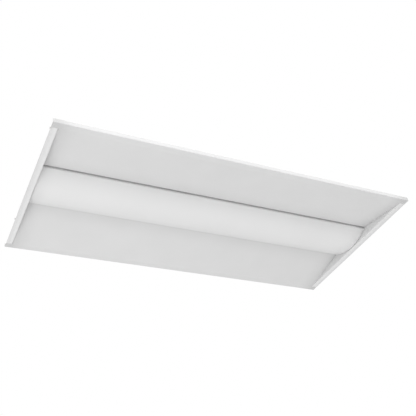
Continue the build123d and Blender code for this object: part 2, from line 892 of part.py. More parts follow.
# ---------------------------------------------------------------- access plate
with BuildPart() as access_plate:
    with BuildSketch(Plane.XY.offset(roof_top)):
        with Locations((hatch_x, driver_y)):
            RectangleRounded(
                hatch_length + 2 * hatch_lap, hatch_width + 2 * hatch_lap, plate_corner
            )
            with Locations((-conduit_place, 0), (conduit_place, 0)):
                Circle(conduit_radius, mode=Mode.SUBTRACT)
        with Locations(*hatch_screws_xy):
            Circle(screw_hole, mode=Mode.SUBTRACT)
    extrude(amount=sheet)
finish(access_plate, "access_plate")

with BuildPart() as plate_knockout:
    with BuildSketch(Plane.XY.offset(roof_top)):
        with Locations((hatch_x - conduit_place, driver_y)):
            Circle(conduit_radius - knockout_kerf)
    extrude(amount=sheet)
finish(plate_knockout, "access_knockout")

access_screws = group(
    sheet_screw, [Plane(origin=(x, y, overall_height)) for x, y in hatch_screws_xy]
)
finish(access_screws, "access_screws")

# ---------------------------------------------------------------- assembly screws
top_screws = group(
    sheet_screw,
    [Plane(origin=(x, y, overall_height)) for x, y in rim_screws_xy]
    + [plane.offset(sheet) for plane in slope_planes],
)
finish(top_screws, "end_plate_screws")
bridge_screws = group(
    sheet_screw, [Plane(origin=(x, y, roof_top)) for x, y in bridge_screws_xy]
)
finish(bridge_screws, "bridge_screws")
tray_screws = group(sheet_screw, tray_planes)
finish(tray_screws, "tray_screws")
wing_screws = group(
    sheet_screw,
    [
        Plane(origin=(x, side * ledge_screw_y, ledge_top + sheet))
        for x in wing_screw_x
        for side in (-1, 1)
    ],
)
finish(wing_screws, "wing_screws")

# ---------------------------------------------------------------- lens
with BuildPart() as lens:
    with BuildSketch(Plane.YZ) as lens_section:
        with BuildLine() as lens_outside:
            Polyline(
                (-lens_edge + hook_width, hook_top), (-lens_edge, hook_top), (-lens_edge, lens_corner)
            )
            ThreePointArc((-lens_edge, lens_corner), (0, lens_low), (lens_edge, lens_corner))
            Polyline((lens_edge, lens_corner), (lens_edge, hook_top), (lens_edge - hook_width, hook_top))
            offset(amount=lens_wall, side=Side.LEFT)
        make_face()
        outer_corners = lens_section.vertices().filter_by(
            lambda corner: abs(corner.Z - lens_corner) < 0.01 and abs(abs(corner.Y) - lens_edge) < 0.01
        )
        fillet(outer_corners, corner_round)
    extrude(amount=lens_half, both=True)
finish(lens, "lens")

# ---------------------------------------------------------------- lens rails and caps
lug_width = rail_foot - rail_sheet - lug_margin
lug_x = cap_inner - lug_length / 2
lug_y = leg_inner - rail_foot + lug_width / 2

with BuildPart() as rail_near:
    with BuildSketch(Plane.YZ):
        folded(
            [(-leg_inner, hook_under), (-leg_inner, rail_z), (-leg_inner + rail_foot, rail_z)],
            thickness=rail_sheet,
        )
    extrude(amount=cap_inner, both=True)
    with BuildSketch(Plane.XY.offset(rail_z - rail_sheet)):
        with Locations(*[(end * lug_x, -lug_y) for end in (-1, 1)]):
            Circle(small_hole)
    extrude(amount=3 * rail_sheet, mode=Mode.SUBTRACT)
finish(rail_near, "lens_rail_near")
rail_far = mirrored(rail_near, Plane.XZ)
finish(rail_far, "lens_rail_far")

cap_edge = leg_inner - cap_fit
cap_radius = lens_radius - lens_wall - cap_fit
cap_bottom = lens_centre - cap_radius
cap_corner = lens_centre - sqrt(cap_radius**2 - cap_edge**2)
lug_z = rail_z + rail_sheet

with BuildPart() as cap_right:
    with BuildSketch(Plane.YZ.offset(cap_inner)):
        with BuildLine():
            ThreePointArc((-cap_edge, cap_corner), (0, cap_bottom), (cap_edge, cap_corner))
            Polyline(
                (cap_edge, cap_corner),
                (cap_edge, hook_under - cap_fit),
                (-cap_edge, hook_under - cap_fit),
                (-cap_edge, cap_corner),
            )
        make_face()
    extrude(amount=cap_wall)
    with BuildSketch(Plane.XY.offset(lug_z)):
        with Locations(*[(lug_x, side * lug_y) for side in (-1, 1)]):
            Rectangle(lug_length, lug_width)
            Circle(small_hole, mode=Mode.SUBTRACT)
    extrude(amount=lug_height)
    with BuildSketch(Plane.YZ.offset(cap_outer)):
        with Locations((hinge_y, hinge_z)):
            Circle(pin_radius + press_fit)
    extrude(amount=-cap_wall, mode=Mode.SUBTRACT)
finish(cap_right, "lens_cap_right")
cap_left = mirrored(cap_right, Plane.YZ)
finish(cap_left, "lens_cap_left")

rail_screws = group(
    small_screw,
    [
        Plane(origin=(end * lug_x, side * lug_y, lug_z + lug_height))
        for end in (-1, 1)
        for side in (-1, 1)
    ],
)
finish(rail_screws, "rail_screws")

# ---------------------------------------------------------------- hinge pins and bushes
bush_outer = wall_x + sheet + bush_tail
pin_head_x = bush_outer + pin_end_play

with BuildPart() as hinge_pins:
    for end in (-1, 1):
        with BuildSketch(Plane.YZ.offset(end * cap_inner)):
            with Locations((hinge_y, hinge_z)):
                Circle(pin_radius)
        extrude(amount=end * (pin_head_x - cap_inner))
        with BuildSketch(Plane.YZ.offset(end * pin_head_x)):
            with Locations((hinge_y, hinge_z)):
                Circle(pin_head_radius)
        extrude(amount=end * pin_head)
finish(hinge_pins, "hinge_pins")

with BuildPart() as hinge_bushes:
    bush_radius = pin_radius + running_fit + bush_wall
    for end in (-1, 1):
        with BuildSketch(Plane.YZ.offset(end * (wall_x - bush_flange))):
            with Locations((hinge_y, hinge_z)):
                Circle(bush_flange_radius)
                Circle(pin_radius + running_fit, mode=Mode.SUBTRACT)
        extrude(amount=end * bush_flange)
        with BuildSketch(Plane.YZ.offset(end * wall_x)):
            with Locations((hinge_y, hinge_z)):
                Circle(bush_radius)
                Circle(pin_radius + running_fit, mode=Mode.SUBTRACT)
        extrude(amount=end * (sheet + bush_tail))
finish(hinge_bushes, "hinge_bushes")

# ---------------------------------------------------------------- spring catches
nose_y = lens_edge + catch_gap + catch_sheet
with BuildPart() as catches:
    with BuildSketch(Plane.YZ):
        folded(
            [
                (-wing_edge, ledge_top - catch_top),
                (-wing_edge, ledge_top - catch_top - catch_flat),
                (-nose_y, wing_rise + catch_nose),
                (-wing_edge + catch_tail_gap, wing_rise + catch_tail),
            ],
            radius=catch_bend,
            thickness=catch_sheet,
        )
    extrude(amount=catch_width / 2, both=True)
    with BuildSketch(Plane.XZ.offset(wing_edge)):
        with Locations((0, rivet_z)):
            Circle(rivet_radius + screw_fit)
    extrude(amount=2 * catch_sheet, both=True, mode=Mode.SUBTRACT)
catch_clips = group(catches, [Plane(origin=(x, 0, 0)) for x in catch_x])
finish(catch_clips, "catch_clips")

with BuildPart() as rivet:
    with BuildSketch(Plane.XZ.offset(wing_edge - catch_sheet)):
        Circle(rivet_head_radius)
    extrude(amount=-rivet_head)
    with BuildSketch(Plane.XZ.offset(wing_edge - catch_sheet)):
        Circle(rivet_radius)
    extrude(amount=catch_sheet + sheet)
    with BuildSketch(Plane.XZ.offset(wing_edge + sheet)):
        Circle(rivet_tail_radius)
    extrude(amount=rivet_head)
catch_rivets = group(rivet, [Plane(origin=(x, 0, rivet_z)) for x in catch_x])
finish(catch_rivets, "catch_rivets")

# ---------------------------------------------------------------- grid clips
with BuildPart() as clip_pin:
    with BuildSketch(Plane.XY.offset(clip_base - 2 * sheet)):
        Circle(clip_pin_radius)
    extrude(amount=clip_height + 3 * sheet)
    with BuildSketch(Plane.XY.offset(clip_top + sheet)):
        Circle(clip_pin_head)
    extrude(amount=clip_pin_head_height)
pivots = [(end * clip_x, side * clip_place) for end in (-1, 1) for side in (-1, 1)]
clip_pins = group(clip_pin, [Plane(origin=(x, y, 0)) for x, y in pivots])
finish(clip_pins, "clip_pins")

for end, hand in end_names.items():
    for side, row in row_names.items():
        with BuildPart() as clip:
            with BuildSketch(Plane.XY.offset(clip_base + clip_gap)):
                with Locations((end * clip_x, side * clip_place)):
                    Circle(clip_knuckle)
                    Rectangle(
                        clip_sheet,
                        clip_arm,
                        align=(Align.CENTER, Align.MIN if side < 0 else Align.MAX),
                    )
                    Circle(clip_pin_radius + running_fit, mode=Mode.SUBTRACT)
            extrude(amount=clip_height - 2 * clip_gap)
            tip_edges = clip.edges().filter_by(Axis.X).sort_by(
                lambda edge: abs(edge.center().Y)
            )[:2]
            fillet(tip_edges, clip_tip_round)
            with BuildSketch(Plane.YZ.offset(end * clip_x)):
                with Locations(
                    (side * (clip_place - clip_arm + clip_hole_inset), (clip_base + clip_top) / 2)
                ):
                    Circle(clip_hole)
            extrude(amount=2 * clip_sheet, both=True, mode=Mode.SUBTRACT)
        finish(clip, f"grid_clip_{row}_{hand}")
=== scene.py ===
import json
import math

import bmesh
import bpy
import numpy as np
from bpy.props import FloatProperty, FloatVectorProperty, IntProperty, PointerProperty
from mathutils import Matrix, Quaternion, Vector

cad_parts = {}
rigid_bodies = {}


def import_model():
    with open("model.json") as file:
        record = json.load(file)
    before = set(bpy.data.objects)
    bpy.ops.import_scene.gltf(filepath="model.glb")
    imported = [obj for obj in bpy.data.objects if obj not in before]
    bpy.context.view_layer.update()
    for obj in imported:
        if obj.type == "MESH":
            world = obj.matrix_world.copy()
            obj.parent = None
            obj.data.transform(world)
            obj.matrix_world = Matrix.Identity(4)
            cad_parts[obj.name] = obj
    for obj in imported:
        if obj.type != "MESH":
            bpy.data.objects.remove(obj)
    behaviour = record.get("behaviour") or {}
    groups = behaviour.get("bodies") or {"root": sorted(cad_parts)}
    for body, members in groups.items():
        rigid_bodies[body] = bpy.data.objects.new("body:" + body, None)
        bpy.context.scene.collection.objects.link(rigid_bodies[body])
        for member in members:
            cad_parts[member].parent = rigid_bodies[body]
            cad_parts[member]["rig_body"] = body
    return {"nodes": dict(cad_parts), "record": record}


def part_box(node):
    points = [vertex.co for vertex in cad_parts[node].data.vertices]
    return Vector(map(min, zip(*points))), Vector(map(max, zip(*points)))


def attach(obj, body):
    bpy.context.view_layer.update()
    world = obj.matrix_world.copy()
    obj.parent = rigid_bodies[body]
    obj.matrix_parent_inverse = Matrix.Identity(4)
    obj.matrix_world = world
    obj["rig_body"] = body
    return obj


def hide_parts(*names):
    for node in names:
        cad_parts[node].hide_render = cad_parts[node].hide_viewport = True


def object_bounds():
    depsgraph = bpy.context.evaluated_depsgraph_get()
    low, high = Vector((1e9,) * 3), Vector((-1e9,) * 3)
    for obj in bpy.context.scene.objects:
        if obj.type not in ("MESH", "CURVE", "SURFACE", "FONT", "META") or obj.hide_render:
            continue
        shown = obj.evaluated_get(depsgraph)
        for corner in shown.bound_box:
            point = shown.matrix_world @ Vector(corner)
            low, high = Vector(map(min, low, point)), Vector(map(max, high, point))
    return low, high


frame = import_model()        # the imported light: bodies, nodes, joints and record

bl_info = {
    "name": "Recessed Troffer Light",
    "version": (1, 0, 0),
    "blender": (4, 5, 0),
    "location": "View3D > Sidebar > Troffer",
    "description": "Finishes and fine pieces for a lay-in ceiling light with a hinged lens door",
    "category": "Add Mesh",
}

CAD_LOW, CAD_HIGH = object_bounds()
NODES = frame["nodes"]
SLOT_OF = {row["node"]: row["material_slot"] for row in frame["record"]["subparts"]}
MM = 0.001


# ------------------------ sizes and colours a user may change


class TrofferFinish(bpy.types.PropertyGroup):
    """Colours and gloss of the main finishes."""

    enamel: FloatVectorProperty(
        name="Enamel", description="White powder coat of the sheet steel",
        subtype="COLOR", size=3, min=0, max=1, default=(0.72, 0.72, 0.72),
    )
    # painted light: the end plates get a lighter copy of the wings' white, standing for the brighter light
    # on the end flanges
    end_enamel: FloatVectorProperty(
        name="End enamel", description="Powder coat of the end plates, from a brighter batch",
        subtype="COLOR", size=3, min=0, max=1, default=(0.80, 0.80, 0.80),
    )
    enamel_roughness: FloatProperty(
        name="Enamel roughness", description="Gloss of the powder coat", min=0, max=1, default=0.42
    )
    diffuser: FloatVectorProperty(
        name="Diffuser", description="Frosted acrylic of the lens",
        subtype="COLOR", size=3, min=0, max=1, default=(0.83, 0.83, 0.83),
    )
    zinc: FloatVectorProperty(
        name="Galvanised steel", description="Zinc skin of the back pan",
        subtype="COLOR", size=3, min=0, max=1, default=(0.43, 0.44, 0.45),
    )
    spangle: FloatProperty(
        name="Spangle", description="Width of the zinc crystals",
        unit="LENGTH", min=0.002, max=0.05, default=0.011,
    )
    # painted shade: how much the coats are darkened by the end walls, on the upright walls, along the
    # flange edge and beside the lens
    painted_shade: FloatProperty(
        name="Thin coat", description="How much greyer the coat is in inner corners",
        min=0, max=0.5, default=0.16,
    )
    # how far from an end wall or from the lens edge that painted shade reaches
    painted_shade_reach: FloatProperty(
        name="Thin coat reach", description="How far from a corner the coat is thin",
        unit="LENGTH", min=0.005, max=0.2, default=0.072,
    )
    phosphor: FloatVectorProperty(
        name="Phosphor", description="Yellow fill of the light packages",
        subtype="COLOR", size=3, min=0, max=1, default=(0.86, 0.62, 0.12),
    )


class TrofferLens(bpy.types.PropertyGroup):
    """Sizes of the bowed lens."""

    wall: FloatProperty(
        name="Wall", description="Thickness of the acrylic", unit="LENGTH", default=2.0 * MM
    )
    leg: FloatProperty(
        name="Leg", description="Height of the upright legs", unit="LENGTH", default=16.5 * MM
    )
    hook: FloatProperty(
        name="Hook", description="Width of the hooks on the legs", unit="LENGTH", default=6.5 * MM
    )
    corner: FloatProperty(
        name="Corner radius", description="Outer radius between bow and leg",
        unit="LENGTH", default=4.0 * MM,
    )
    steps: IntProperty(
        name="Bow steps", description="Facets across the bow", min=16, max=256, default=96
    )
    ribs: IntProperty(
        name="Ribs", description="Fine light-spreading ribs inside the bow", min=0, max=120, default=56
    )
    rib_radius: FloatProperty(
        name="Rib radius", description="Size of one rib", unit="LENGTH", default=0.45 * MM
    )


class TrofferScrew(bpy.types.PropertyGroup):
    """Shape of the pan-head screws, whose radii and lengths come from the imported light."""

    pitch: FloatProperty(
        name="Thread pitch", description="Rise of the thread in one turn",
        unit="LENGTH", default=1.1 * MM,
    )
    thread: FloatProperty(
        name="Thread depth", description="Height of the thread over the core",
        unit="LENGTH", default=0.35 * MM,
    )
    slot: FloatProperty(
        name="Recess width", description="Width of the cross recess, as a share of the head's radius",
        min=0.1, max=0.5, default=0.26,
    )
    sides: IntProperty(
        name="Sides", description="Facets round the head", min=12, max=64, default=28
    )


class TrofferBoard(bpy.types.PropertyGroup):
    """Small pieces on the light boards."""

    pad: FloatProperty(
        name="Solder pad", description="Length of one pad", unit="LENGTH", default=0.9 * MM
    )
    fill: FloatProperty(
        name="Fill", description="Share of the package's face that is phosphor",
        min=0.3, max=0.95, default=0.78,
    )
    resistor_step: IntProperty(
        name="Resistor step", description="One resistor for so many packages", min=2, max=36, default=6
    )
    resistor_place: FloatProperty(
        name="Resistor place", description="Distance of the resistors from the row",
        unit="LENGTH", default=5.5 * MM,
    )


class TrofferStage(bpy.types.PropertyGroup):
    """Floor, lamps and camera."""

    floor_drop: FloatProperty(
        name="Floor drop", description="Room height under the light", unit="LENGTH", default=2.7
    )
    ambient: FloatProperty(
        name="Ambient", description="Even light of the room", min=0, max=2, default=0.668
    )
    front_lamp: FloatProperty(
        name="Front lamp", description="Power of the high lamp in front", min=0, max=500, default=91.0
    )
    under_left_lamp: FloatProperty(
        name="Left lamp", description="Power of the lamp below on the left", min=0, max=500, default=16.5
    )
    under_right_lamp: FloatProperty(
        name="Right lamp", description="Power of the lamp below on the right", min=0, max=500, default=11.0
    )
    focal: FloatProperty(
        name="Focal length", description="In millimetres", min=10, max=200, default=56.974
    )
    roll: FloatProperty(
        name="Roll", description="Turn of the camera about its own line of sight",
        subtype="ANGLE", default=math.radians(-9.017),
    )


# ------------------------ fixed sizes, shares and places

CAMERA_PLACE = Vector((-0.9126, -1.5358, -1.2697))
CAMERA_AIM = Vector((-0.0436, -0.0742, 0.0))
SENSOR = 36.0  # width of the camera's sensor, in millimetres
SIGHT = 60.0  # how far the camera sees
LAMPS = {  # width and place of each round lamp, aimed at the origin
    "front_lamp": (4.8, Vector((-0.6, -3.2, 1.1))),
    "under_left_lamp": (2.0, Vector((-1.9, -0.1, -1.9))),
    "under_right_lamp": (2.4, Vector((0.7, 0.6, -2.5))),
}
FLOOR_RADIUS = 9.0
FLOOR_GREY = (0.8, 0.8, 0.8)
FLOOR_WHITE = 0.9  # share of plain white in the floor as it is seen

LENS_LOW, LENS_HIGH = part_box("lens")
LENS_END_GAP = 1.5 * MM  # from an end of the lens to its end wall
END_WALL = LENS_HIGH.x + LENS_END_GAP
WING_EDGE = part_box("wing_far")[0].y
LENS_SIDE_SHARE = 0.6  # share of the painted shade that the wings get beside the lens
WALL_SHARE = 0.5  # share of the painted shade on the end plates' upright walls
WALL_FADE = (1.0 * MM, 8.0 * MM)  # heights between which that painted shade sets in
FLANGE_SHARE = 0.6  # share of the painted shade along the flange's cut edge
FLANGE_REACH = 12 * MM  # how far in from that edge the painted shade reaches
LENS_END_REACH = 60 * MM  # stretch of the lens at each end that gets painted shade
LENS_END_SHADE = 0.14  # depth of that painted shade at the lens's very end
LENS_EDGE_SHADE = 0.12  # depth of the painted shade at the lens's long edges

NOISE_BAND = (0.3, 0.7)  # noise hardly leaves this band
MERGE = 1e-6  # corners nearer than this are one, in metres
SHARP = 0.6  # edges that bend more than this stay sharp, in radians

CORNER_ROOM = 0.7  # share of the corner radius that the bow leaves to the corner
CORNER_STEPS = 6
RIB_FIELD = 0.94  # share of the bow between the legs that has ribs
HEAD_PLAY = 0.01 * MM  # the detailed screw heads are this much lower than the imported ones
RIM = 0.97  # share of a screw's radius past which a corner is on its rim
RECESS_ARM = 1.15  # length of the cross recess, as a share of the head's radius
RECESS_CUTTER = 1.2  # height of its cutter, as a share of the head's, half of it above
THREADED = 0.78  # share of the shank that carries the thread
THREAD_FOOT = 0.88  # where the thread begins, as a share of the shank
HEAD_OUTLINE = (  # place along the outline, then shares of the head's radius and height
    (0.0, 0.0, 0.0), (0.214, 1.0, 0.0), (0.43, 1.0, 0.55), (0.57, 0.97, 0.78),
    (0.715, 0.86, 0.92), (0.857, 0.62, 0.985), (1.0, 0.0, 1.0),
)
SHANK_OUTLINE = (  # the same for the core of the shank, from its tip up
    (0.0, 0.0, 1.0), (0.2, 0.35, 1.0), (0.4, 1.0, 0.86), (0.8, 1.0, 0.0), (1.0, 0.0, 0.0),
)
PACKAGE_DRAFT = 0.95  # size of a light package's face, as a share of its foot
PHOSPHOR_SINK = 0.12  # depth of its phosphor, as a share of its height
PAD_WIDTH = 0.82  # width of a solder pad, as a share of the package's
PAD_THICKNESS = 0.12  # thickness of a solder pad, as a share of the package's height
PAD_PLACE = 1.12  # middle of a solder pad, as a share of the package's half length
RESISTOR = (3.2 * MM, 1.6 * MM, 0.6 * MM)
RESISTOR_BODY = 0.66  # length of the dark body, as a share of the resistor's
RESISTOR_CAP = (0.18, 1.06, 1.04)  # size of a tinned cap, as shares of the resistor's
RESISTOR_CAP_PLACE = (0.42, 0.52)  # middle of a cap, as shares of the length and of the height
FACE_DOWN = (math.pi, 0.0, 0.0)  # the turn of what sits on the boards
TAB_WIDTH = 2.0 * MM
TAB_LENGTH = 0.8  # as a share of the width
TAB_THICKNESS = 0.9  # as a share of the sheet
TABS = {  # the tabs and the knockouts that they hold
    "end_knockout_tabs": "end_knockouts",
    "access_knockout_tabs": "access_knockout",
}


# ------------------------ node helpers


def node(tree, kind, inputs=None, **settings):
    """Add a node, with its settings, and its inputs as plain values or links."""
    made = tree.nodes.new(kind)
    for key, value in settings.items():
        setattr(made, key, value)
    for key, value in (inputs or {}).items():
        if isinstance(value, bpy.types.NodeSocket):
            tree.links.new(value, made.inputs[key])
        else:
            made.inputs[key].default_value = value
    return made


def material(name, colour, roughness, metallic=0.0, **sockets):
    """A new material with the plain values of its shader set, and its tree and shader."""
    made = bpy.data.materials.new(name)
    made.use_nodes = True
    made.diffuse_color = (*colour, 1.0)
    tree = made.node_tree
    shader = tree.nodes["Principled BSDF"]
    shader.inputs["Base Color"].default_value = (*colour, 1.0)
    shader.inputs["Roughness"].default_value = roughness
    shader.inputs["Metallic"].default_value = metallic
    for key, value in sockets.items():
        shader.inputs[key.replace("_", " ")].default_value = value
    return made, tree, shader


def maths(tree, operation, *values):
    """A sum, power or other function of numbers or links."""
    return node(tree, "ShaderNodeMath", dict(enumerate(values)), operation=operation).outputs[0]


def times(tree, *values):
    """A product of two numbers or links."""
    return maths(tree, "MULTIPLY", *values)


def vector(tree, x, y, z):
    """A vector from numbers or links."""
    return node(tree, "ShaderNodeCombineXYZ", {"X": x, "Y": y, "Z": z}).outputs[0]


def coords(tree, stretch=(1, 1, 1)):
    """Place on the piece, in metres, squeezed or stretched along its axes."""
    place = node(tree, "ShaderNodeTexCoord").outputs["Object"]
    return node(tree, "ShaderNodeMapping", {"Vector": place, "Scale": stretch}).outputs["Vector"]


def cloud(tree, scale, detail=2.0, stretch=(1, 1, 1)):
    """Soft random pattern from 0 to 1, with so many cells to the metre."""
    return node(
        tree, "ShaderNodeTexNoise", {"Vector": coords(tree, stretch), "Scale": scale, "Detail": detail}
    ).outputs["Fac"]


def ranged(tree, value, before, after):
    """A value moved from one range to another, and held at its ends."""
    labels = ("Value", "From Min", "From Max", "To Min", "To Max")
    inputs = dict(zip(labels, (value, *before, *after)))
    return node(tree, "ShaderNodeMapRange", inputs).outputs["Result"]


def uneven(tree, shader, pattern, low, high):
    """Roughness that follows a pattern between two values."""
    tree.links.new(ranged(tree, pattern, NOISE_BAND, (low, high)), shader.inputs["Roughness"])


def tint(tree, shader, factor, colour, change):
    """Base colour that drifts about its own value by a small share."""
    low = tuple(max(0.0, part * (1 - change)) for part in colour)
    high = tuple(min(1.0, part * (1 + change)) for part in colour)
    mix = node(tree, "ShaderNodeMix", data_type="RGBA", clamp_factor=True)
    tree.links.new(ranged(tree, factor, NOISE_BAND, (0.0, 1.0)), mix.inputs["Factor"])
    mix.inputs["A"].default_value = (*low, 1.0)
    mix.inputs["B"].default_value = (*high, 1.0)
    tree.links.new(mix.outputs["Result"], shader.inputs["Base Color"])


def across(tree, axis):
    """Distance from the middle of the light along one axis."""
    place = node(tree, "ShaderNodeTexCoord").outputs["Object"]
    return maths(tree, "ABSOLUTE", node(tree, "ShaderNodeSeparateXYZ", {0: place}).outputs[axis])


def ramp(tree, value, start, end, power=2.0):
    """0 up to the start and 1 from the end, rising by a power between them."""
    return maths(tree, "POWER", ranged(tree, value, (start, end), (0.0, 1.0)), power)


def darkened(tree, shader, share, depth):
    """Base colour taken down by a depth where the share is 1."""
    socket = shader.inputs["Base Color"]
    mix = node(tree, "ShaderNodeMix", data_type="RGBA", blend_type="MULTIPLY", clamp_factor=True)
    tree.links.new(share, mix.inputs["Factor"])
    tree.links.new(socket.links[0].from_socket, mix.inputs["A"])
    mix.inputs["B"].default_value = (1 - depth, 1 - depth, 1 - depth, 1.0)
    tree.links.new(mix.outputs["Result"], socket)


def relief(tree, shader, *layers):
    """Surface relief from (pattern, height in metres) layers."""
    normal = None
    for pattern, height in layers:
        bump = node(tree, "ShaderNodeBump", {"Height": pattern, "Distance": height, "Strength": 1.0})
        if normal:
            tree.links.new(normal, bump.inputs["Normal"])
        normal = bump.outputs["Normal"]
    tree.links.new(normal, shader.inputs["Normal"])


# ------------------------ finishes


def powder_coat(name, colour, roughness, gloss=0.4):
    """Baked powder coat: even colour, fine orange peel and the faint waviness of thin sheet."""
    made, tree, shader = material(name, colour, roughness, Specular_IOR_Level=gloss)
    peel, wave = cloud(tree, 700.0), cloud(tree, 4.0, 1.0)
    tint(tree, shader, cloud(tree, 9.0, 3.0), colour, 0.012)
    uneven(tree, shader, cloud(tree, 60.0), roughness - 0.04, roughness + 0.05)
    relief(tree, shader, (peel, 0.012 * MM), (wave, 0.35 * MM))
    return made


def wing_coat(name, look):
    """Powder coat of the wings, with painted shade along the end walls and beside the lens."""
    made = powder_coat(name, look.enamel, look.enamel_roughness)
    tree = made.node_tree
    shader = tree.nodes["Principled BSDF"]
    # painted shade where the wings meet the end walls
    at_end = ramp(tree, across(tree, "X"), END_WALL - look.painted_shade_reach, END_WALL)
    darkened(tree, shader, at_end, look.painted_shade)
    # painted shade on the wings beside the lens
    at_lens = ramp(tree, across(tree, "Y"), WING_EDGE + look.painted_shade_reach, WING_EDGE)
    darkened(tree, shader, at_lens, look.painted_shade * LENS_SIDE_SHARE)
    return made


def end_coat(name, look):
    """Powder coat of the end plates, with painted shade on the upright walls and along the flange's cut
    edge.
    """
    made = powder_coat(name, look.end_enamel, look.enamel_roughness, gloss=0.3)
    tree = made.node_tree
    shader = tree.nodes["Principled BSDF"]
    # painted shade on the upright walls
    on_wall = ramp(tree, across(tree, "Z"), *WALL_FADE, power=1.0)
    darkened(tree, shader, on_wall, look.painted_shade * WALL_SHARE)
    # painted shade along the flange's outer cut edge
    outside = CAD_HIGH[0]
    on_edge = ramp(tree, across(tree, "X"), outside - FLANGE_REACH, outside, power=1.0)
    darkened(tree, shader, on_edge, look.painted_shade * FLANGE_SHARE)
    return made


def galvanised(name, colour, crystal):
    """Hot-dip zinc: flat crystals of all shades, feathered inside, and a rolled grain."""
    made, tree, shader = material(name, colour, 0.5, 0.9)
    feather = cloud(tree, 1.6 / crystal, 4.0)
    wander = node(tree, "ShaderNodeTexNoise", {"Vector": coords(tree), "Scale": 1 / crystal})
    bent = node(tree, "ShaderNodeMix", {"Factor": 0.5 * crystal}, data_type="VECTOR")
    tree.links.new(coords(tree, (1.0, 0.85, 1.0)), bent.inputs["A"])
    tree.links.new(wander.outputs["Color"], bent.inputs["B"])
    cells = node(
        tree, "ShaderNodeTexVoronoi",
        {"Vector": bent.outputs["Result"], "Scale": 1 / crystal, "Randomness": 1.0}, feature="F1",
    )
    shade = node(tree, "ShaderNodeSeparateColor", {"Color": cells.outputs["Color"]}).outputs["Red"]
    rolled = cloud(tree, 260.0, 3.0, (0.06, 1.0, 1.0))
    mixed = maths(tree, "ADD", times(tree, shade, 0.45), times(tree, feather, 0.35))
    mixed = maths(tree, "ADD", mixed, times(tree, rolled, 0.2))
    tint(tree, shader, mixed, colour, 0.13)
    uneven(tree, shader, mixed, 0.42, 0.6)
    relief(tree, shader, (mixed, 0.008 * MM))
    return made


def frosted(name, colour):
    """Frosted acrylic with a satin skin and faint die lines, and painted shade towards its ends and long
    edges.
    """
    made, tree, shader = material(
        name, colour, 0.5, Subsurface_Weight=0.35, Subsurface_Scale=0.004, IOR=1.49
    )
    shader.inputs["Subsurface Radius"].default_value = (1.0, 1.0, 1.0)
    tint(tree, shader, cloud(tree, 6.0), colour, 0.008)
    # painted shade towards each end of the lens
    at_lens_end = ramp(tree, across(tree, "X"), LENS_HIGH.x - LENS_END_REACH, LENS_HIGH.x)
    darkened(tree, shader, at_lens_end, LENS_END_SHADE)
    # painted shade towards the lens's long edges
    darkened(tree, shader, ramp(tree, across(tree, "Y"), 0.0, LENS_HIGH.y), LENS_EDGE_SHADE)
    lines = cloud(tree, 500.0, 2.0, (0.004, 1.0, 1.0))
    uneven(tree, shader, lines, 0.46, 0.54)
    relief(tree, shader, (cloud(tree, 2600.0), 0.004 * MM), (lines, 0.006 * MM))
    return made


def plated(name, colour, roughness):
    """Bright zinc plate with a fine blasted grain and a drift of tone."""
    made, tree, shader = material(name, colour, roughness, 1.0)
    tint(tree, shader, cloud(tree, 220.0), colour, 0.06)
    uneven(tree, shader, cloud(tree, 900.0), roughness - 0.07, roughness + 0.08)
    relief(tree, shader, (cloud(tree, 3000.0), 0.006 * MM))
    return made


def drawn(name, colour, roughness):
    """Extruded or rolled metal, with its lines along the light."""
    made, tree, shader = material(name, colour, roughness, 1.0)
    lines = cloud(tree, 1500.0, 3.0, (0.004, 1.0, 1.0))
    tint(tree, shader, lines, colour, 0.05)
    uneven(tree, shader, lines, roughness - 0.08, roughness + 0.1)
    relief(tree, shader, (lines, 0.004 * MM))
    return made


def moulded(name, colour, roughness, grain=1400.0):
    """Moulded plastic with a fine spark-eroded grain."""
    made, tree, shader = material(name, colour, roughness)
    tint(tree, shader, cloud(tree, 45.0), colour, 0.03)
    uneven(tree, shader, cloud(tree, 300.0), roughness - 0.05, roughness + 0.06)
    relief(tree, shader, (cloud(tree, grain), 0.01 * MM))
    return made


def circuit(name, colour, roughness):
    """Solder mask over a woven core, whose threads just show."""
    made, tree, shader = material(name, colour, roughness, Coat_Weight=0.3, Coat_Roughness=0.15)
    threads = [
        node(tree, "ShaderNodeTexWave", {"Vector": coords(tree), "Scale": 380.0}, bands_direction=way)
        for way in ("X", "Y")
    ]
    weave = times(tree, *[thread.outputs["Fac"] for thread in threads])
    tint(tree, shader, weave, colour, 0.02)
    relief(tree, shader, (weave, 0.004 * MM))
    return made


def glow_fill(name, colour):
    """Silicone with phosphor in it, slightly uneven in tone."""
    made, tree, shader = material(name, colour, 0.3, Subsurface_Weight=0.2, Subsurface_Scale=0.0004)
    tint(tree, shader, cloud(tree, 2500.0), colour, 0.08)
    relief(tree, shader, (cloud(tree, 900.0), 0.02 * MM))
    return made


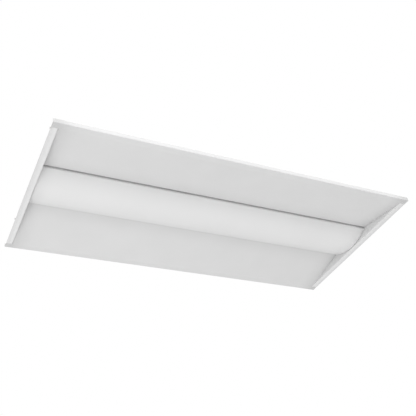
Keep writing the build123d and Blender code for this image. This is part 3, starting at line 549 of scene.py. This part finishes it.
SMALL_FINISHES = {  # how each is made, its colour, its roughness and, where it differs, its grain
    "white_moulding": (moulded, (0.82, 0.82, 0.81), 0.45),
    "rail_aluminium": (drawn, (0.78, 0.78, 0.79), 0.34),
    "plated_steel": (plated, (0.72, 0.71, 0.67), 0.3),
    "white_screw": (powder_coat, (0.82, 0.82, 0.81), 0.36),
    "spring_steel": (drawn, (0.46, 0.47, 0.49), 0.28),
    "nylon": (moulded, (0.80, 0.78, 0.72), 0.5),
    "board_white": (circuit, (0.86, 0.86, 0.85), 0.34),
    "light_package": (moulded, (0.88, 0.88, 0.86), 0.35, 4000.0),
    "solder": (plated, (0.78, 0.78, 0.77), 0.26),
    "grommet_rubber": (moulded, (0.035, 0.035, 0.036), 0.6, 900.0),
    "driver_enamel": (powder_coat, (0.74, 0.75, 0.76), 0.38),
    "circuit_green": (circuit, (0.04, 0.22, 0.10), 0.35),
    "component_dark": (moulded, (0.06, 0.06, 0.065), 0.32),
    "terminal_orange": (moulded, (0.80, 0.25, 0.04), 0.42),
    "terminal_grey": (moulded, (0.42, 0.43, 0.44), 0.45),
    "earth_green": (plated, (0.08, 0.36, 0.14), 0.35),
    "tinned_copper": (plated, (0.74, 0.71, 0.66), 0.32),
    "lead_black": (moulded, (0.03, 0.03, 0.03), 0.4),
    "lead_white": (moulded, (0.82, 0.82, 0.80), 0.4),
    "lead_green": (moulded, (0.03, 0.30, 0.09), 0.4),
    "lead_red": (moulded, (0.60, 0.03, 0.025), 0.4),
}


def finish_of(slot):
    """The material of a finish, made when it is first asked for."""
    name = "troffer_" + slot
    if name in bpy.data.materials:
        return bpy.data.materials[name]
    look = bpy.context.scene.troffer_finish
    main_finishes = {
        "white_enamel": (powder_coat, look.enamel, look.enamel_roughness),
        "wing_enamel": (wing_coat, look),
        "end_enamel": (end_coat, look),
        "galvanised_steel": (galvanised, look.zinc, look.spangle),
        "diffuser": (frosted, look.diffuser),
        "phosphor": (glow_fill, look.phosphor),
    }
    maker, *values = main_finishes.get(slot) or SMALL_FINISHES[slot]
    return maker(name, *values)


def carry(*names, finish=None):
    """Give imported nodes, whose shape is right, the full finish of their slot or another one."""
    for name in names:
        for place in NODES[name].material_slots:
            place.material = finish_of(finish or SLOT_OF[name])


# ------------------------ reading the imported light


def islands(name):
    """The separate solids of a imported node, each as its corners, from a merged copy of the mesh."""
    copy = bmesh.new()
    copy.from_mesh(NODES[name].data)
    bmesh.ops.remove_doubles(copy, verts=copy.verts, dist=MERGE)
    found, left = [], set(copy.verts)
    while left:
        start = left.pop()
        group, waiting = [start], [start]
        while waiting:
            for edge in waiting.pop().link_edges:
                for vert in edge.verts:
                    if vert in left:
                        left.discard(vert)
                        group.append(vert)
                        waiting.append(vert)
        found.append(np.array([vert.co for vert in group]))
    copy.free()
    return sorted(found, key=lambda corners: tuple(corners.mean(axis=0).round(4)))


def screw_facts(corners):
    """Seat, axis and sizes of one screw, measured on its corners."""
    centre = corners.mean(axis=0)
    values, axes = np.linalg.eigh(np.cov((corners - centre).T))
    odd = 0 if abs(values[1] - values[0]) > abs(values[2] - values[1]) else 2
    axis = axes[:, odd]
    along = (corners - centre) @ axis
    off = np.linalg.norm(corners - centre - np.outer(along, axis), axis=1)
    head_radius = off.max()
    rim = along[off > RIM * head_radius]
    if rim.mean() < (along.min() + along.max()) / 2:
        axis, along, rim = -axis, -along, -rim
    seat = rim.min()
    quarter = (seat - along.min()) / 4
    shank = off[along < seat - quarter]
    sizes = {
        "Head radius": float(head_radius), "Head height": float(along.max() - seat) - HEAD_PLAY,
        "Shank radius": float(shank.max()), "Length": float(seat - along.min()),
    }
    return centre + seat * axis, axis, sizes


# ------------------------ geometry node helpers


def geometry_tree(name, numbers, whole=(), finishes=("Finish",)):
    """A new geometry tree with its inputs named by kind, and its input sockets."""
    tree = bpy.data.node_groups.new(name, "GeometryNodeTree")
    for way in ("INPUT", "OUTPUT"):
        tree.interface.new_socket("Geometry", in_out=way, socket_type="NodeSocketGeometry")
    for kind, labels in (("Float", numbers), ("Int", whole), ("Material", finishes)):
        for label in labels:
            tree.interface.new_socket(label, in_out="INPUT", socket_type="NodeSocket" + kind)
    return tree, tree.nodes.new("NodeGroupInput").outputs


def formed(tree, kind, inputs=None, **settings):
    """The first output of a geometry node."""
    return node(tree, "GeometryNode" + kind, inputs, **settings).outputs[0]


def moved(tree, geometry, place=(0, 0, 0), turn=(0, 0, 0)):
    """Geometry turned, then moved."""
    return formed(tree, "Transform", {"Geometry": geometry, "Translation": place, "Rotation": turn})


def block(tree, x, y, z):
    """A box about the origin."""
    return formed(tree, "MeshCube", {"Size": vector(tree, x, y, z)})


def joined(tree, *parts):
    """Several geometries as one."""
    made = tree.nodes.new("GeometryNodeJoinGeometry")
    for part in parts:
        tree.links.new(part, made.inputs[0])
    return made.outputs[0]


def marked(tree, geometry, name, which=True):
    """Faces that carry a mark, so that they can get a finish of their own."""
    inputs = {"Geometry": geometry, "Name": name, "Value": which}
    return formed(tree, "StoreNamedAttribute", inputs, data_type="BOOLEAN", domain="FACE")


def copied(tree, points, shape, turn=(0, 0, 0)):
    """A copy of a shape on every point."""
    return formed(tree, "InstanceOnPoints", {"Points": points, "Instance": shape, "Rotation": turn})


def axis_turn(tree):
    """The turn that points Z along each point's own axis."""
    axis = formed(tree, "InputNamedAttribute", {"Name": "axis"}, data_type="FLOAT_VECTOR")
    return node(tree, "FunctionNodeAlignRotationToVector", {"Vector": axis}, axis="Z").outputs[0]


def profile(tree, value, points):
    """A curve through points from 0 to 1, straight between them."""
    made = node(tree, "ShaderNodeFloatCurve", {"Value": value})
    curve = made.mapping.curves[0]
    while len(curve.points) > 2:
        curve.points.remove(curve.points[1])
    curve.points[0].location, curve.points[-1].location = points[0], points[-1]
    for point in points[1:-1]:
        curve.points.new(*point)
    for point in curve.points:
        point.handle_type = "VECTOR"
    made.mapping.update()
    return made.outputs[0]


def turned(tree, sides, rings, radius, height, outline):
    """A body of revolution, from rows of place along its outline, share of radius and share of height."""
    radii = [(along, out) for along, out, _ in outline]
    heights = [(along, up) for along, _, up in outline]
    grid = formed(
        tree, "MeshGrid", {"Size X": 1.0, "Size Y": 1.0, "Vertices X": sides, "Vertices Y": rings}
    )
    place = node(tree, "ShaderNodeSeparateXYZ", {0: formed(tree, "InputPosition")})
    share = maths(tree, "ADD", place.outputs["Y"], 0.5)
    angle = times(tree, place.outputs["X"], math.tau)
    out = times(tree, profile(tree, share, radii), radius)
    up = times(tree, profile(tree, share, heights), height)
    spot = vector(
        tree,
        times(tree, maths(tree, "COSINE", angle), out),
        times(tree, maths(tree, "SINE", angle), out),
        up,
    )
    shell = formed(tree, "SetPosition", {"Geometry": grid, "Position": spot})
    return formed(tree, "MergeByDistance", {"Geometry": shell, "Distance": MERGE})


def smoothed(tree, geometry):
    """Smooth shading, with sharp edges kept."""
    smooth = formed(tree, "SetShadeSmooth", {"Geometry": geometry, "Shade Smooth": True}, domain="FACE")
    bend = node(tree, "GeometryNodeInputMeshEdgeAngle").outputs["Unsigned Angle"]
    sharp = maths(tree, "GREATER_THAN", bend, SHARP)
    inputs = {"Geometry": smooth, "Selection": sharp, "Shade Smooth": False}
    return formed(tree, "SetShadeSmooth", inputs, domain="EDGE")


def ended(tree, geometry, finish, **marks):
    """A tree with its end: instances made real, the finish, and a finish for each mark."""
    real = formed(tree, "RealizeInstances", {"Geometry": geometry})
    shown = formed(tree, "SetMaterial", {"Geometry": smoothed(tree, real), "Material": finish})
    for mark, other in marks.items():
        chosen = formed(tree, "InputNamedAttribute", {"Name": mark}, data_type="BOOLEAN")
        shown = formed(tree, "SetMaterial", {"Geometry": shown, "Selection": chosen, "Material": other})
    node(tree, "NodeGroupOutput", {"Geometry": shown})
    return tree


def spots(name, places, **vectors):
    """A mesh of loose points, with a vector for each point under each name."""
    mesh = bpy.data.meshes.new(name)
    mesh.from_pydata([tuple(place) for place in places], [], [])
    for label, rows in vectors.items():
        layer = mesh.attributes.new(label, "FLOAT_VECTOR", "POINT")
        layer.data.foreach_set("vector", np.array(rows, np.float32).ravel())
    return mesh


def grown(name, tree, sizes, places=(), **vectors):
    """Run a tree on points, or on nothing, and keep the result as a plain mesh object."""
    piece = bpy.data.objects.new(name, spots(name, places, **vectors))
    bpy.context.scene.collection.objects.link(piece)
    modifier = piece.modifiers.new("shape", "NODES")
    modifier.node_group = tree
    sockets = {item.name: item.identifier for item in tree.interface.items_tree if item.in_out == "INPUT"}
    for label, value in sizes.items():
        modifier[sockets[label]] = value
    return settle(piece)


def settle(piece):
    """Replace a piece's mesh by what its modifiers make of it."""
    view = bpy.context.evaluated_depsgraph_get()
    mesh = bpy.data.meshes.new_from_object(piece.evaluated_get(view))
    piece.modifiers.clear()
    bare, piece.data = piece.data, mesh
    bpy.data.meshes.remove(bare)
    mesh.name = piece.name
    return piece


def fit_in(piece, body, slot, *nodes):
    """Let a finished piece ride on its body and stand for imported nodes."""
    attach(piece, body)
    if nodes:
        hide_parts(*nodes)


# ------------------------ pieces that a rule shapes


def lens_tree():
    """Bowed lens: an arc between two upright legs with hooks, drawn across and pulled along X."""
    tree, size = geometry_tree(
        "Bowed lens",
        (
            "Half length", "Half width", "Lowest", "Corner height", "Bow edge", "Bow edge height",
            "Top", "Hook", "Corner radius",
        ),
        whole=("Steps",),
    )
    back = times(tree, size["Half length"], -1.0)
    legs = []
    bow_ends = []
    for side in (-1.0, 1.0):
        edge = times(tree, size["Half width"], side)
        tip = times(tree, maths(tree, "SUBTRACT", size["Half width"], size["Hook"]), side)
        near = vector(tree, back, times(tree, size["Bow edge"], side), size["Bow edge height"])
        foot = vector(tree, back, edge, size["Corner height"])
        head = vector(tree, back, edge, size["Top"])
        hook = vector(tree, back, tip, size["Top"])
        for start, end in ((near, foot), (foot, head), (head, hook)):
            legs.append(formed(tree, "CurvePrimitiveLine", {"Start": start, "End": end}))
        bow_ends.append(near)
    middle = vector(tree, back, 0.0, size["Lowest"])
    inputs = {"Resolution": size["Steps"], "Start": bow_ends[0], "Middle": middle, "End": bow_ends[1]}
    bow = formed(tree, "CurveArc", inputs, mode="POINTS")
    wires = formed(tree, "CurveToMesh", {"Curve": joined(tree, bow, *legs)})
    line = formed(tree, "MergeByDistance", {"Geometry": wires, "Distance": 10 * MERGE})
    curve = formed(tree, "MeshToCurve", {"Mesh": line})
    inputs = {"Curve": curve, "Radius": size["Corner radius"], "Limit Radius": True, "Count": CORNER_STEPS}
    soft = formed(tree, "FilletCurve", inputs, mode="POLY")
    section = formed(tree, "CurveToMesh", {"Curve": soft})
    pull = vector(tree, times(tree, size["Half length"], 2.0), 0.0, 0.0)
    inputs = {"Mesh": section, "Offset": pull, "Offset Scale": 1.0}
    sheet = formed(tree, "ExtrudeMesh", inputs, mode="EDGES")
    return ended(tree, sheet, size["Finish"])


def rib_tree():
    """Fine ribs along the inside of the bow, one every few millimetres."""
    tree, size = geometry_tree(
        "Lens ribs", ("Half angle", "Bow radius", "Centre height", "Length", "Rib radius"), whole=("Count",)
    )
    line = formed(tree, "MeshLine", {"Count": size["Count"]})
    last = maths(tree, "SUBTRACT", size["Count"], 1.0)
    share = maths(tree, "SUBTRACT", maths(tree, "DIVIDE", formed(tree, "InputIndex"), last), 0.5)
    angle = times(tree, times(tree, share, 2.0), size["Half angle"])
    aside = times(tree, maths(tree, "SINE", angle), size["Bow radius"])
    down = times(tree, maths(tree, "COSINE", angle), size["Bow radius"])
    spot = vector(tree, 0.0, aside, maths(tree, "SUBTRACT", size["Centre height"], down))
    points = formed(tree, "SetPosition", {"Geometry": line, "Position": spot})
    inputs = {"Vertices": 6, "Radius": size["Rib radius"], "Depth": size["Length"]}
    rod = formed(tree, "MeshCylinder", inputs)
    laid = moved(tree, rod, turn=(0.0, math.pi / 2, 0.0))
    return ended(tree, copied(tree, points, laid), size["Finish"])


def screw_tree():
    """Pan-head screw with a cross recess and a rolled thread, on every point, along its axis."""
    tree, size = geometry_tree(
        "Pan head screw",
        ("Head radius", "Head height", "Shank radius", "Length", "Pitch", "Thread", "Recess"),
        whole=("Sides",),
    )
    head = turned(tree, size["Sides"], 15, size["Head radius"], size["Head height"], HEAD_OUTLINE)
    long = times(tree, size["Head radius"], RECESS_ARM)
    slot = times(tree, size["Head radius"], size["Recess"])
    deep = times(tree, size["Head height"], RECESS_CUTTER)
    top = vector(tree, 0.0, 0.0, size["Head height"])
    cut = node(tree, "GeometryNodeMeshBoolean", operation="DIFFERENCE", solver="EXACT")
    tree.links.new(head, cut.inputs["Mesh 1"])
    for arm in ((long, slot), (slot, long)):
        tree.links.new(moved(tree, block(tree, *arm, deep), top), cut.inputs["Mesh 2"])
    core = maths(tree, "SUBTRACT", size["Shank radius"], size["Thread"])
    shank = turned(tree, 14, 6, core, times(tree, size["Length"], -1.0), SHANK_OUTLINE)
    reach = times(tree, size["Length"], THREADED)
    inputs = {
        "Resolution": 14, "Rotations": maths(tree, "DIVIDE", reach, size["Pitch"]),
        "Start Radius": core, "End Radius": core, "Height": reach,
    }
    spiral = formed(tree, "CurveSpiral", inputs)
    crest = formed(tree, "CurvePrimitiveCircle", {"Resolution": 3, "Radius": size["Thread"]}, mode="RADIUS")
    thread = formed(tree, "CurveToMesh", {"Curve": spiral, "Profile Curve": crest, "Fill Caps": True})
    foot = vector(tree, 0.0, 0.0, times(tree, size["Length"], -THREAD_FOOT))
    screw = joined(tree, cut.outputs["Mesh"], shank, moved(tree, thread, foot))
    return ended(tree, copied(tree, size["Geometry"], screw, axis_turn(tree)), size["Finish"])


def package_tree():
    """Light package face down: white frame, sunk phosphor and a solder pad at each end."""
    tree, size = geometry_tree(
        "Light package", ("Length", "Width", "Height", "Fill", "Pad"),
        finishes=("Finish", "Phosphor", "Solder"),
    )
    body = moved(
        tree, block(tree, size["Length"], size["Width"], size["Height"]),
        vector(tree, 0.0, 0.0, times(tree, size["Height"], 0.5)),
    )
    upright = node(tree, "ShaderNodeSeparateXYZ", {0: formed(tree, "InputNormal")}).outputs["Z"]
    top = maths(tree, "GREATER_THAN", upright, 0.9)
    inputs = {"Geometry": body, "Selection": top, "Scale": PACKAGE_DRAFT}
    draft = formed(tree, "ScaleElements", inputs, domain="FACE")
    inputs = {"Mesh": draft, "Selection": top, "Offset Scale": 0.0}
    rim = node(tree, "GeometryNodeExtrudeMesh", inputs, mode="FACES").outputs
    inputs = {"Geometry": rim["Mesh"], "Selection": rim["Top"], "Scale": size["Fill"]}
    inner = formed(tree, "ScaleElements", inputs, domain="FACE")
    sink = times(tree, size["Height"], -PHOSPHOR_SINK)
    inputs = {"Mesh": inner, "Selection": rim["Top"], "Offset Scale": sink}
    bowl = node(tree, "GeometryNodeExtrudeMesh", inputs, mode="FACES").outputs
    parts = [marked(tree, bowl["Mesh"], "phosphor", bowl["Top"])]
    wide = times(tree, size["Width"], PAD_WIDTH)
    thick = times(tree, size["Height"], PAD_THICKNESS)
    lift = times(tree, thick, 0.5)
    half = times(tree, size["Length"], 0.5)
    for end in (-PAD_PLACE, PAD_PLACE):
        spot = vector(tree, times(tree, half, end), 0.0, lift)
        parts.append(marked(tree, moved(tree, block(tree, size["Pad"], wide, thick), spot), "solder"))
    copies = copied(tree, size["Geometry"], joined(tree, *parts), FACE_DOWN)
    return ended(tree, copies, size["Finish"], phosphor=size["Phosphor"], solder=size["Solder"])


def resistor_tree():
    """Chip resistor face down: dark body with a tinned cap at each end."""
    tree, size = geometry_tree(
        "Chip resistor", ("Length", "Width", "Height"), finishes=("Finish", "Solder")
    )
    lift = vector(tree, 0.0, 0.0, times(tree, size["Height"], 0.5))
    body = block(tree, times(tree, size["Length"], RESISTOR_BODY), size["Width"], size["Height"])
    parts = [moved(tree, body, lift)]
    sides = zip(("Length", "Width", "Height"), RESISTOR_CAP)
    cap = block(tree, *[times(tree, size[label], share) for label, share in sides])
    aside, up = RESISTOR_CAP_PLACE
    for end in (-aside, aside):
        spot = vector(tree, times(tree, size["Length"], end), 0.0, times(tree, size["Height"], up))
        parts.append(marked(tree, moved(tree, cap, spot), "solder"))
    copies = copied(tree, size["Geometry"], joined(tree, *parts), FACE_DOWN)
    return ended(tree, copies, size["Finish"], solder=size["Solder"])


def tab_tree():
    """Small bridges that hold a knockout in its hole, two to each disc, along the given axis."""
    tree, size = geometry_tree("Knockout tabs", ("Radius", "Width", "Thickness"))
    tab = block(tree, times(tree, size["Width"], TAB_LENGTH), size["Width"], size["Thickness"])
    places = [vector(tree, times(tree, size["Radius"], end), 0.0, 0.0) for end in (-1.0, 1.0)]
    pair = joined(tree, *[moved(tree, tab, place) for place in places])
    return ended(tree, copied(tree, size["Geometry"], pair, axis_turn(tree)), size["Finish"])


# ------------------------ operators


class TROFFER_OT_stage(bpy.types.Operator):
    """Add the floor, the room's light, the lamps and the camera"""

    bl_idname = "troffer.stage"
    bl_label = "Stage"

    def execute(self, context):
        stage = context.scene.troffer_stage
        context.scene.view_settings.view_transform = "Standard"
        self.room(context, stage)
        self.floor(context, stage)
        for name, (width, place) in LAMPS.items():
            self.lamp(context, name, getattr(stage, name), width, place)
        self.camera(context, stage)
        return {"FINISHED"}

    def seen(self, tree):
        """1 for what the camera sees, straight, in a gloss or through glass, and 0 for other light."""
        path = node(tree, "ShaderNodeLightPath").outputs
        shine = maths(tree, "MAXIMUM", path["Is Glossy Ray"], path["Is Transmission Ray"])
        return maths(tree, "MAXIMUM", path["Is Camera Ray"], shine)

    def room(self, context, stage):
        """Even light from all round, which is seen as plain white"""
        world = bpy.data.worlds.new("room")
        world.use_nodes = True
        tree = world.node_tree
        tree.nodes.clear()
        plain = node(tree, "ShaderNodeBackground", {"Color": (1, 1, 1, 1), "Strength": stage.ambient})
        white = node(tree, "ShaderNodeBackground", {"Color": (1, 1, 1, 1), "Strength": 1.0})
        kinds = {0: self.seen(tree), 1: plain.outputs[0], 2: white.outputs[0]}
        mix = node(tree, "ShaderNodeMixShader", kinds)
        node(tree, "ShaderNodeOutputWorld", {"Surface": mix.outputs[0]})
        context.scene.world = world

    def floor(self, context, stage):
        """Pale round floor that keeps a little shade"""
        mesh = bpy.data.meshes.new("studio_floor")
        shape = bmesh.new()
        bmesh.ops.create_circle(shape, cap_ends=True, segments=96, radius=FLOOR_RADIUS)
        bmesh.ops.translate(shape, verts=shape.verts, vec=(0, 0, -stage.floor_drop))
        shape.to_mesh(mesh)
        shape.free()
        floor = bpy.data.objects.new("studio_floor", mesh)
        context.scene.collection.objects.link(floor)
        made, tree, shader = material("studio_floor", FLOOR_GREY, 0.8)
        tint(tree, shader, cloud(tree, 3.0), FLOOR_GREY, 0.01)
        bright = node(tree, "ShaderNodeEmission", {"Color": (1, 1, 1, 1), "Strength": 1.0})
        part = times(tree, self.seen(tree), FLOOR_WHITE)
        mix = node(tree, "ShaderNodeMixShader", {0: part, 1: shader.outputs[0], 2: bright.outputs[0]})
        tree.links.new(mix.outputs[0], tree.nodes["Material Output"].inputs["Surface"])
        mesh.materials.append(made)

    def lamp(self, context, name, power, width, place):
        """Soft round lamp that looks at the light"""
        light = bpy.data.lights.new(name, "AREA")
        light.energy, light.shape, light.size = power, "DISK", width
        lamp = bpy.data.objects.new(name, light)
        lamp.location = place
        lamp.rotation_mode = "QUATERNION"
        lamp.rotation_quaternion = (-place).to_track_quat("-Z", "Y")
        lamp.visible_camera = False
        context.scene.collection.objects.link(lamp)

    def camera(self, context, stage):
        """Camera below the light, in front and to the left"""
        camera = bpy.data.objects.new("camera", bpy.data.cameras.new("camera"))
        camera.data.sensor_width = SENSOR
        camera.data.lens = stage.focal
        camera.data.clip_end = SIGHT
        camera.location = CAMERA_PLACE
        camera.rotation_mode = "QUATERNION"
        level = (CAMERA_AIM - CAMERA_PLACE).to_track_quat("-Z", "Y")
        camera.rotation_quaternion = level @ Quaternion((0, 0, 1), stage.roll)
        context.scene.collection.objects.link(camera)
        context.scene.camera = camera


class TROFFER_OT_sheet_metal(bpy.types.Operator):
    """Finish the wings, end plates, tray, pan and bridges"""

    bl_idname = "troffer.sheet_metal"
    bl_label = "Sheet metal"

    def execute(self, context):
        carry("wing_near", "wing_far", finish="wing_enamel")
        carry("end_plate_left", "end_plate_right", "end_knockouts", finish="end_enamel")
        carry("reflector_tray", "housing_pan", "tray_bridges", "access_plate", "access_knockout")
        return {"FINISHED"}


class TROFFER_OT_knockout_tabs(bpy.types.Operator):
    """Add the small tabs that hold the knockouts"""

    bl_idname = "troffer.knockout_tabs"
    bl_label = "Knockout tabs"

    def execute(self, context):
        tree = tab_tree()
        for name, held in TABS.items():
            finish = finish_of(SLOT_OF[held])
            discs = islands(held)
            places, axes = [], []
            for corners in discs:
                low, high = corners.min(axis=0), corners.max(axis=0)
                axis = np.zeros(3)
                axis[np.argmin(high - low)] = 1.0
                places.append((low + high) / 2)
                axes.append(axis)
            extent = discs[0].max(axis=0) - discs[0].min(axis=0)
            sizes = {
                "Radius": float(extent.max() / 2), "Width": TAB_WIDTH,
                "Thickness": float(extent.min() * TAB_THICKNESS), "Finish": finish,
            }
            piece = grown(name, tree, sizes, places, axis=axes)
            fit_in(piece, "root", SLOT_OF[held])
        return {"FINISHED"}


class TROFFER_OT_lens(bpy.types.Operator):
    """Build the bowed lens and its ribs"""

    bl_idname = "troffer.lens"
    bl_label = "Lens"

    def execute(self, context):
        size = context.scene.troffer_lens
        finish = finish_of("diffuser")
        low, high = LENS_LOW, LENS_HIGH
        corner_height = high.z - size.leg
        sag = corner_height - low.z
        radius = (high.y**2 + sag**2) / (2 * sag)
        bow_edge = high.y - CORNER_ROOM * size.corner
        sizes = {
            "Half length": high.x, "Half width": high.y, "Lowest": low.z, "Top": high.z,
            "Corner height": corner_height, "Hook": size.hook, "Bow edge": bow_edge,
            "Bow edge height": low.z + radius - math.sqrt(radius**2 - bow_edge**2),
            "Corner radius": size.corner, "Steps": size.steps, "Finish": finish,
        }
        lens = grown("lens_bow", lens_tree(), sizes)
        wall = lens.modifiers.new("wall", "SOLIDIFY")
        wall.thickness = size.wall
        wall.offset = -1.0
        wall.use_even_offset = True
        settle(lens)
        lens.data.set_sharp_from_angle(angle=SHARP)
        fit_in(lens, "lens_door", "diffuser", "lens")
        inner = radius - size.wall
        clear = high.y - 3 * size.wall
        sizes = {
            "Count": size.ribs, "Half angle": math.asin(clear / inner) * RIB_FIELD,
            "Bow radius": inner, "Centre height": low.z + radius, "Rib radius": size.rib_radius,
            "Length": 2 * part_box("lens_rail_near")[1].x, "Finish": finish,
        }
        ribs = grown("lens_ribs", rib_tree(), sizes)
        fit_in(ribs, "lens_door", "diffuser")
        return {"FINISHED"}


class TROFFER_OT_lens_frame(bpy.types.Operator):
    """Finish the rails, caps, pins and bushes of the lens door"""

    bl_idname = "troffer.lens_frame"
    bl_label = "Lens frame"

    def execute(self, context):
        carry("lens_rail_near", "lens_rail_far", "lens_cap_left", "lens_cap_right")
        carry("hinge_pins", "hinge_bushes", "catch_clips", "catch_rivets")
        return {"FINISHED"}


class TROFFER_OT_screws(bpy.types.Operator):
    """Put a detailed screw at every screw's place"""

    bl_idname = "troffer.screws"
    bl_label = "Screws"

    def execute(self, context):
        size = context.scene.troffer_screw
        tree = screw_tree()
        for name in sorted(NODES):
            if not name.endswith(("_screws", "_screw")):
                continue
            places, axes, measured = zip(*[screw_facts(corners) for corners in islands(name)])
            sizes = {
                **measured[0], "Pitch": size.pitch, "Thread": size.thread, "Recess": size.slot,
                "Sides": size.sides, "Finish": finish_of(SLOT_OF[name]),
            }
            piece = grown(name.replace("screw", "fastener"), tree, sizes, places, axis=axes)
            fit_in(piece, NODES[name]["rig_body"], SLOT_OF[name], name)
        return {"FINISHED"}


class TROFFER_OT_light_boards(bpy.types.Operator):
    """Finish the light boards and set packages and resistors on them"""

    bl_idname = "troffer.light_boards"
    bl_label = "Light boards"

    def execute(self, context):
        size = context.scene.troffer_board
        carry(*[name for name in NODES if name.startswith("light_board_")])
        carry("board_plugs", "board_jumpers", "tray_grommet")
        boxes = [(corners.min(axis=0), corners.max(axis=0)) for corners in islands("light_packages")]
        places = [(*((low + high) / 2)[:2], high[2]) for low, high in boxes]
        low, high = boxes[0]
        sides = ("Length", "Width", "Height")
        sizes = {
            **{label: float(side) for label, side in zip(sides, high - low)},
            "Fill": size.fill, "Pad": size.pad, "Finish": finish_of("light_package"),
            "Phosphor": finish_of("phosphor"), "Solder": finish_of("solder"),
        }
        packages = grown("package_rows", package_tree(), sizes, places)
        fit_in(packages, "root", "light_package", "light_packages")
        rows = {}
        for place in places:
            rows.setdefault((place[0] > 0, place[1] > 0), []).append(place)
        chips = []
        for (_, far), row in rows.items():  # the resistors lie on the outer side of each row
            side = 1 if far else -1
            for place in sorted(row)[size.resistor_step // 2 :: size.resistor_step]:
                chips.append((place[0], place[1] + side * size.resistor_place, place[2]))
        sizes = {
            **dict(zip(sides, RESISTOR)),
            "Finish": finish_of("component_dark"), "Solder": finish_of("solder"),
        }
        resistors = grown("board_resistors", resistor_tree(), sizes, chips)
        fit_in(resistors, "root", "component_dark")
        return {"FINISHED"}


class TROFFER_OT_driver(bpy.types.Operator):
    """Finish the driver, the supply terminal and the earth parts"""

    bl_idname = "troffer.driver"
    bl_label = "Driver and supply"

    def execute(self, context):
        carry("driver_base", "driver_can", "driver_board", "driver_components", "driver_terminals")
        carry("supply_terminal", "earth_ring")
        return {"FINISHED"}


class TROFFER_OT_wiring(bpy.types.Operator):
    """Finish the leads and their saddle"""

    bl_idname = "troffer.wiring"
    bl_label = "Wiring"

    def execute(self, context):
        carry("lead_live", "lead_neutral", "lead_earth", "lead_red", "lead_black", "lead_saddle")
        return {"FINISHED"}


class TROFFER_OT_grid_clips(bpy.types.Operator):
    """Finish the four grid clips and their pins"""

    bl_idname = "troffer.grid_clips"
    bl_label = "Grid clips"

    def execute(self, context):
        carry(*[name for name in NODES if name.startswith("grid_clip_")], "clip_pins")
        return {"FINISHED"}


class TROFFER_PT_panel(bpy.types.Panel):
    """Lists the steps that build the light"""

    bl_label = "Troffer"
    bl_idname = "TROFFER_PT_panel"
    bl_space_type = "VIEW_3D"
    bl_region_type = "UI"
    bl_category = "Troffer"

    def draw(self, context):
        for step in STEPS:
            self.layout.operator(step.bl_idname)


GROUPS = {
    "troffer_finish": TrofferFinish,
    "troffer_lens": TrofferLens,
    "troffer_screw": TrofferScrew,
    "troffer_board": TrofferBoard,
    "troffer_stage": TrofferStage,
}
STEPS = (
    TROFFER_OT_stage,
    TROFFER_OT_sheet_metal,
    TROFFER_OT_knockout_tabs,
    TROFFER_OT_lens,
    TROFFER_OT_lens_frame,
    TROFFER_OT_screws,
    TROFFER_OT_light_boards,
    TROFFER_OT_driver,
    TROFFER_OT_wiring,
    TROFFER_OT_grid_clips,
)


def register():
    for group in GROUPS.values():
        bpy.utils.register_class(group)
    for name, group in GROUPS.items():
        setattr(bpy.types.Scene, name, PointerProperty(type=group))
    for step in STEPS:
        bpy.utils.register_class(step)
    bpy.utils.register_class(TROFFER_PT_panel)


def unregister():
    bpy.utils.unregister_class(TROFFER_PT_panel)
    for step in reversed(STEPS):
        bpy.utils.unregister_class(step)
    for name, group in GROUPS.items():
        delattr(bpy.types.Scene, name)
        bpy.utils.unregister_class(group)


def main():
    """Build the light step by step."""
    register()
    for step in STEPS:
        family, action = step.bl_idname.split(".")
        getattr(getattr(bpy.ops, family), action)()


if __name__ == "__main__":
    main()
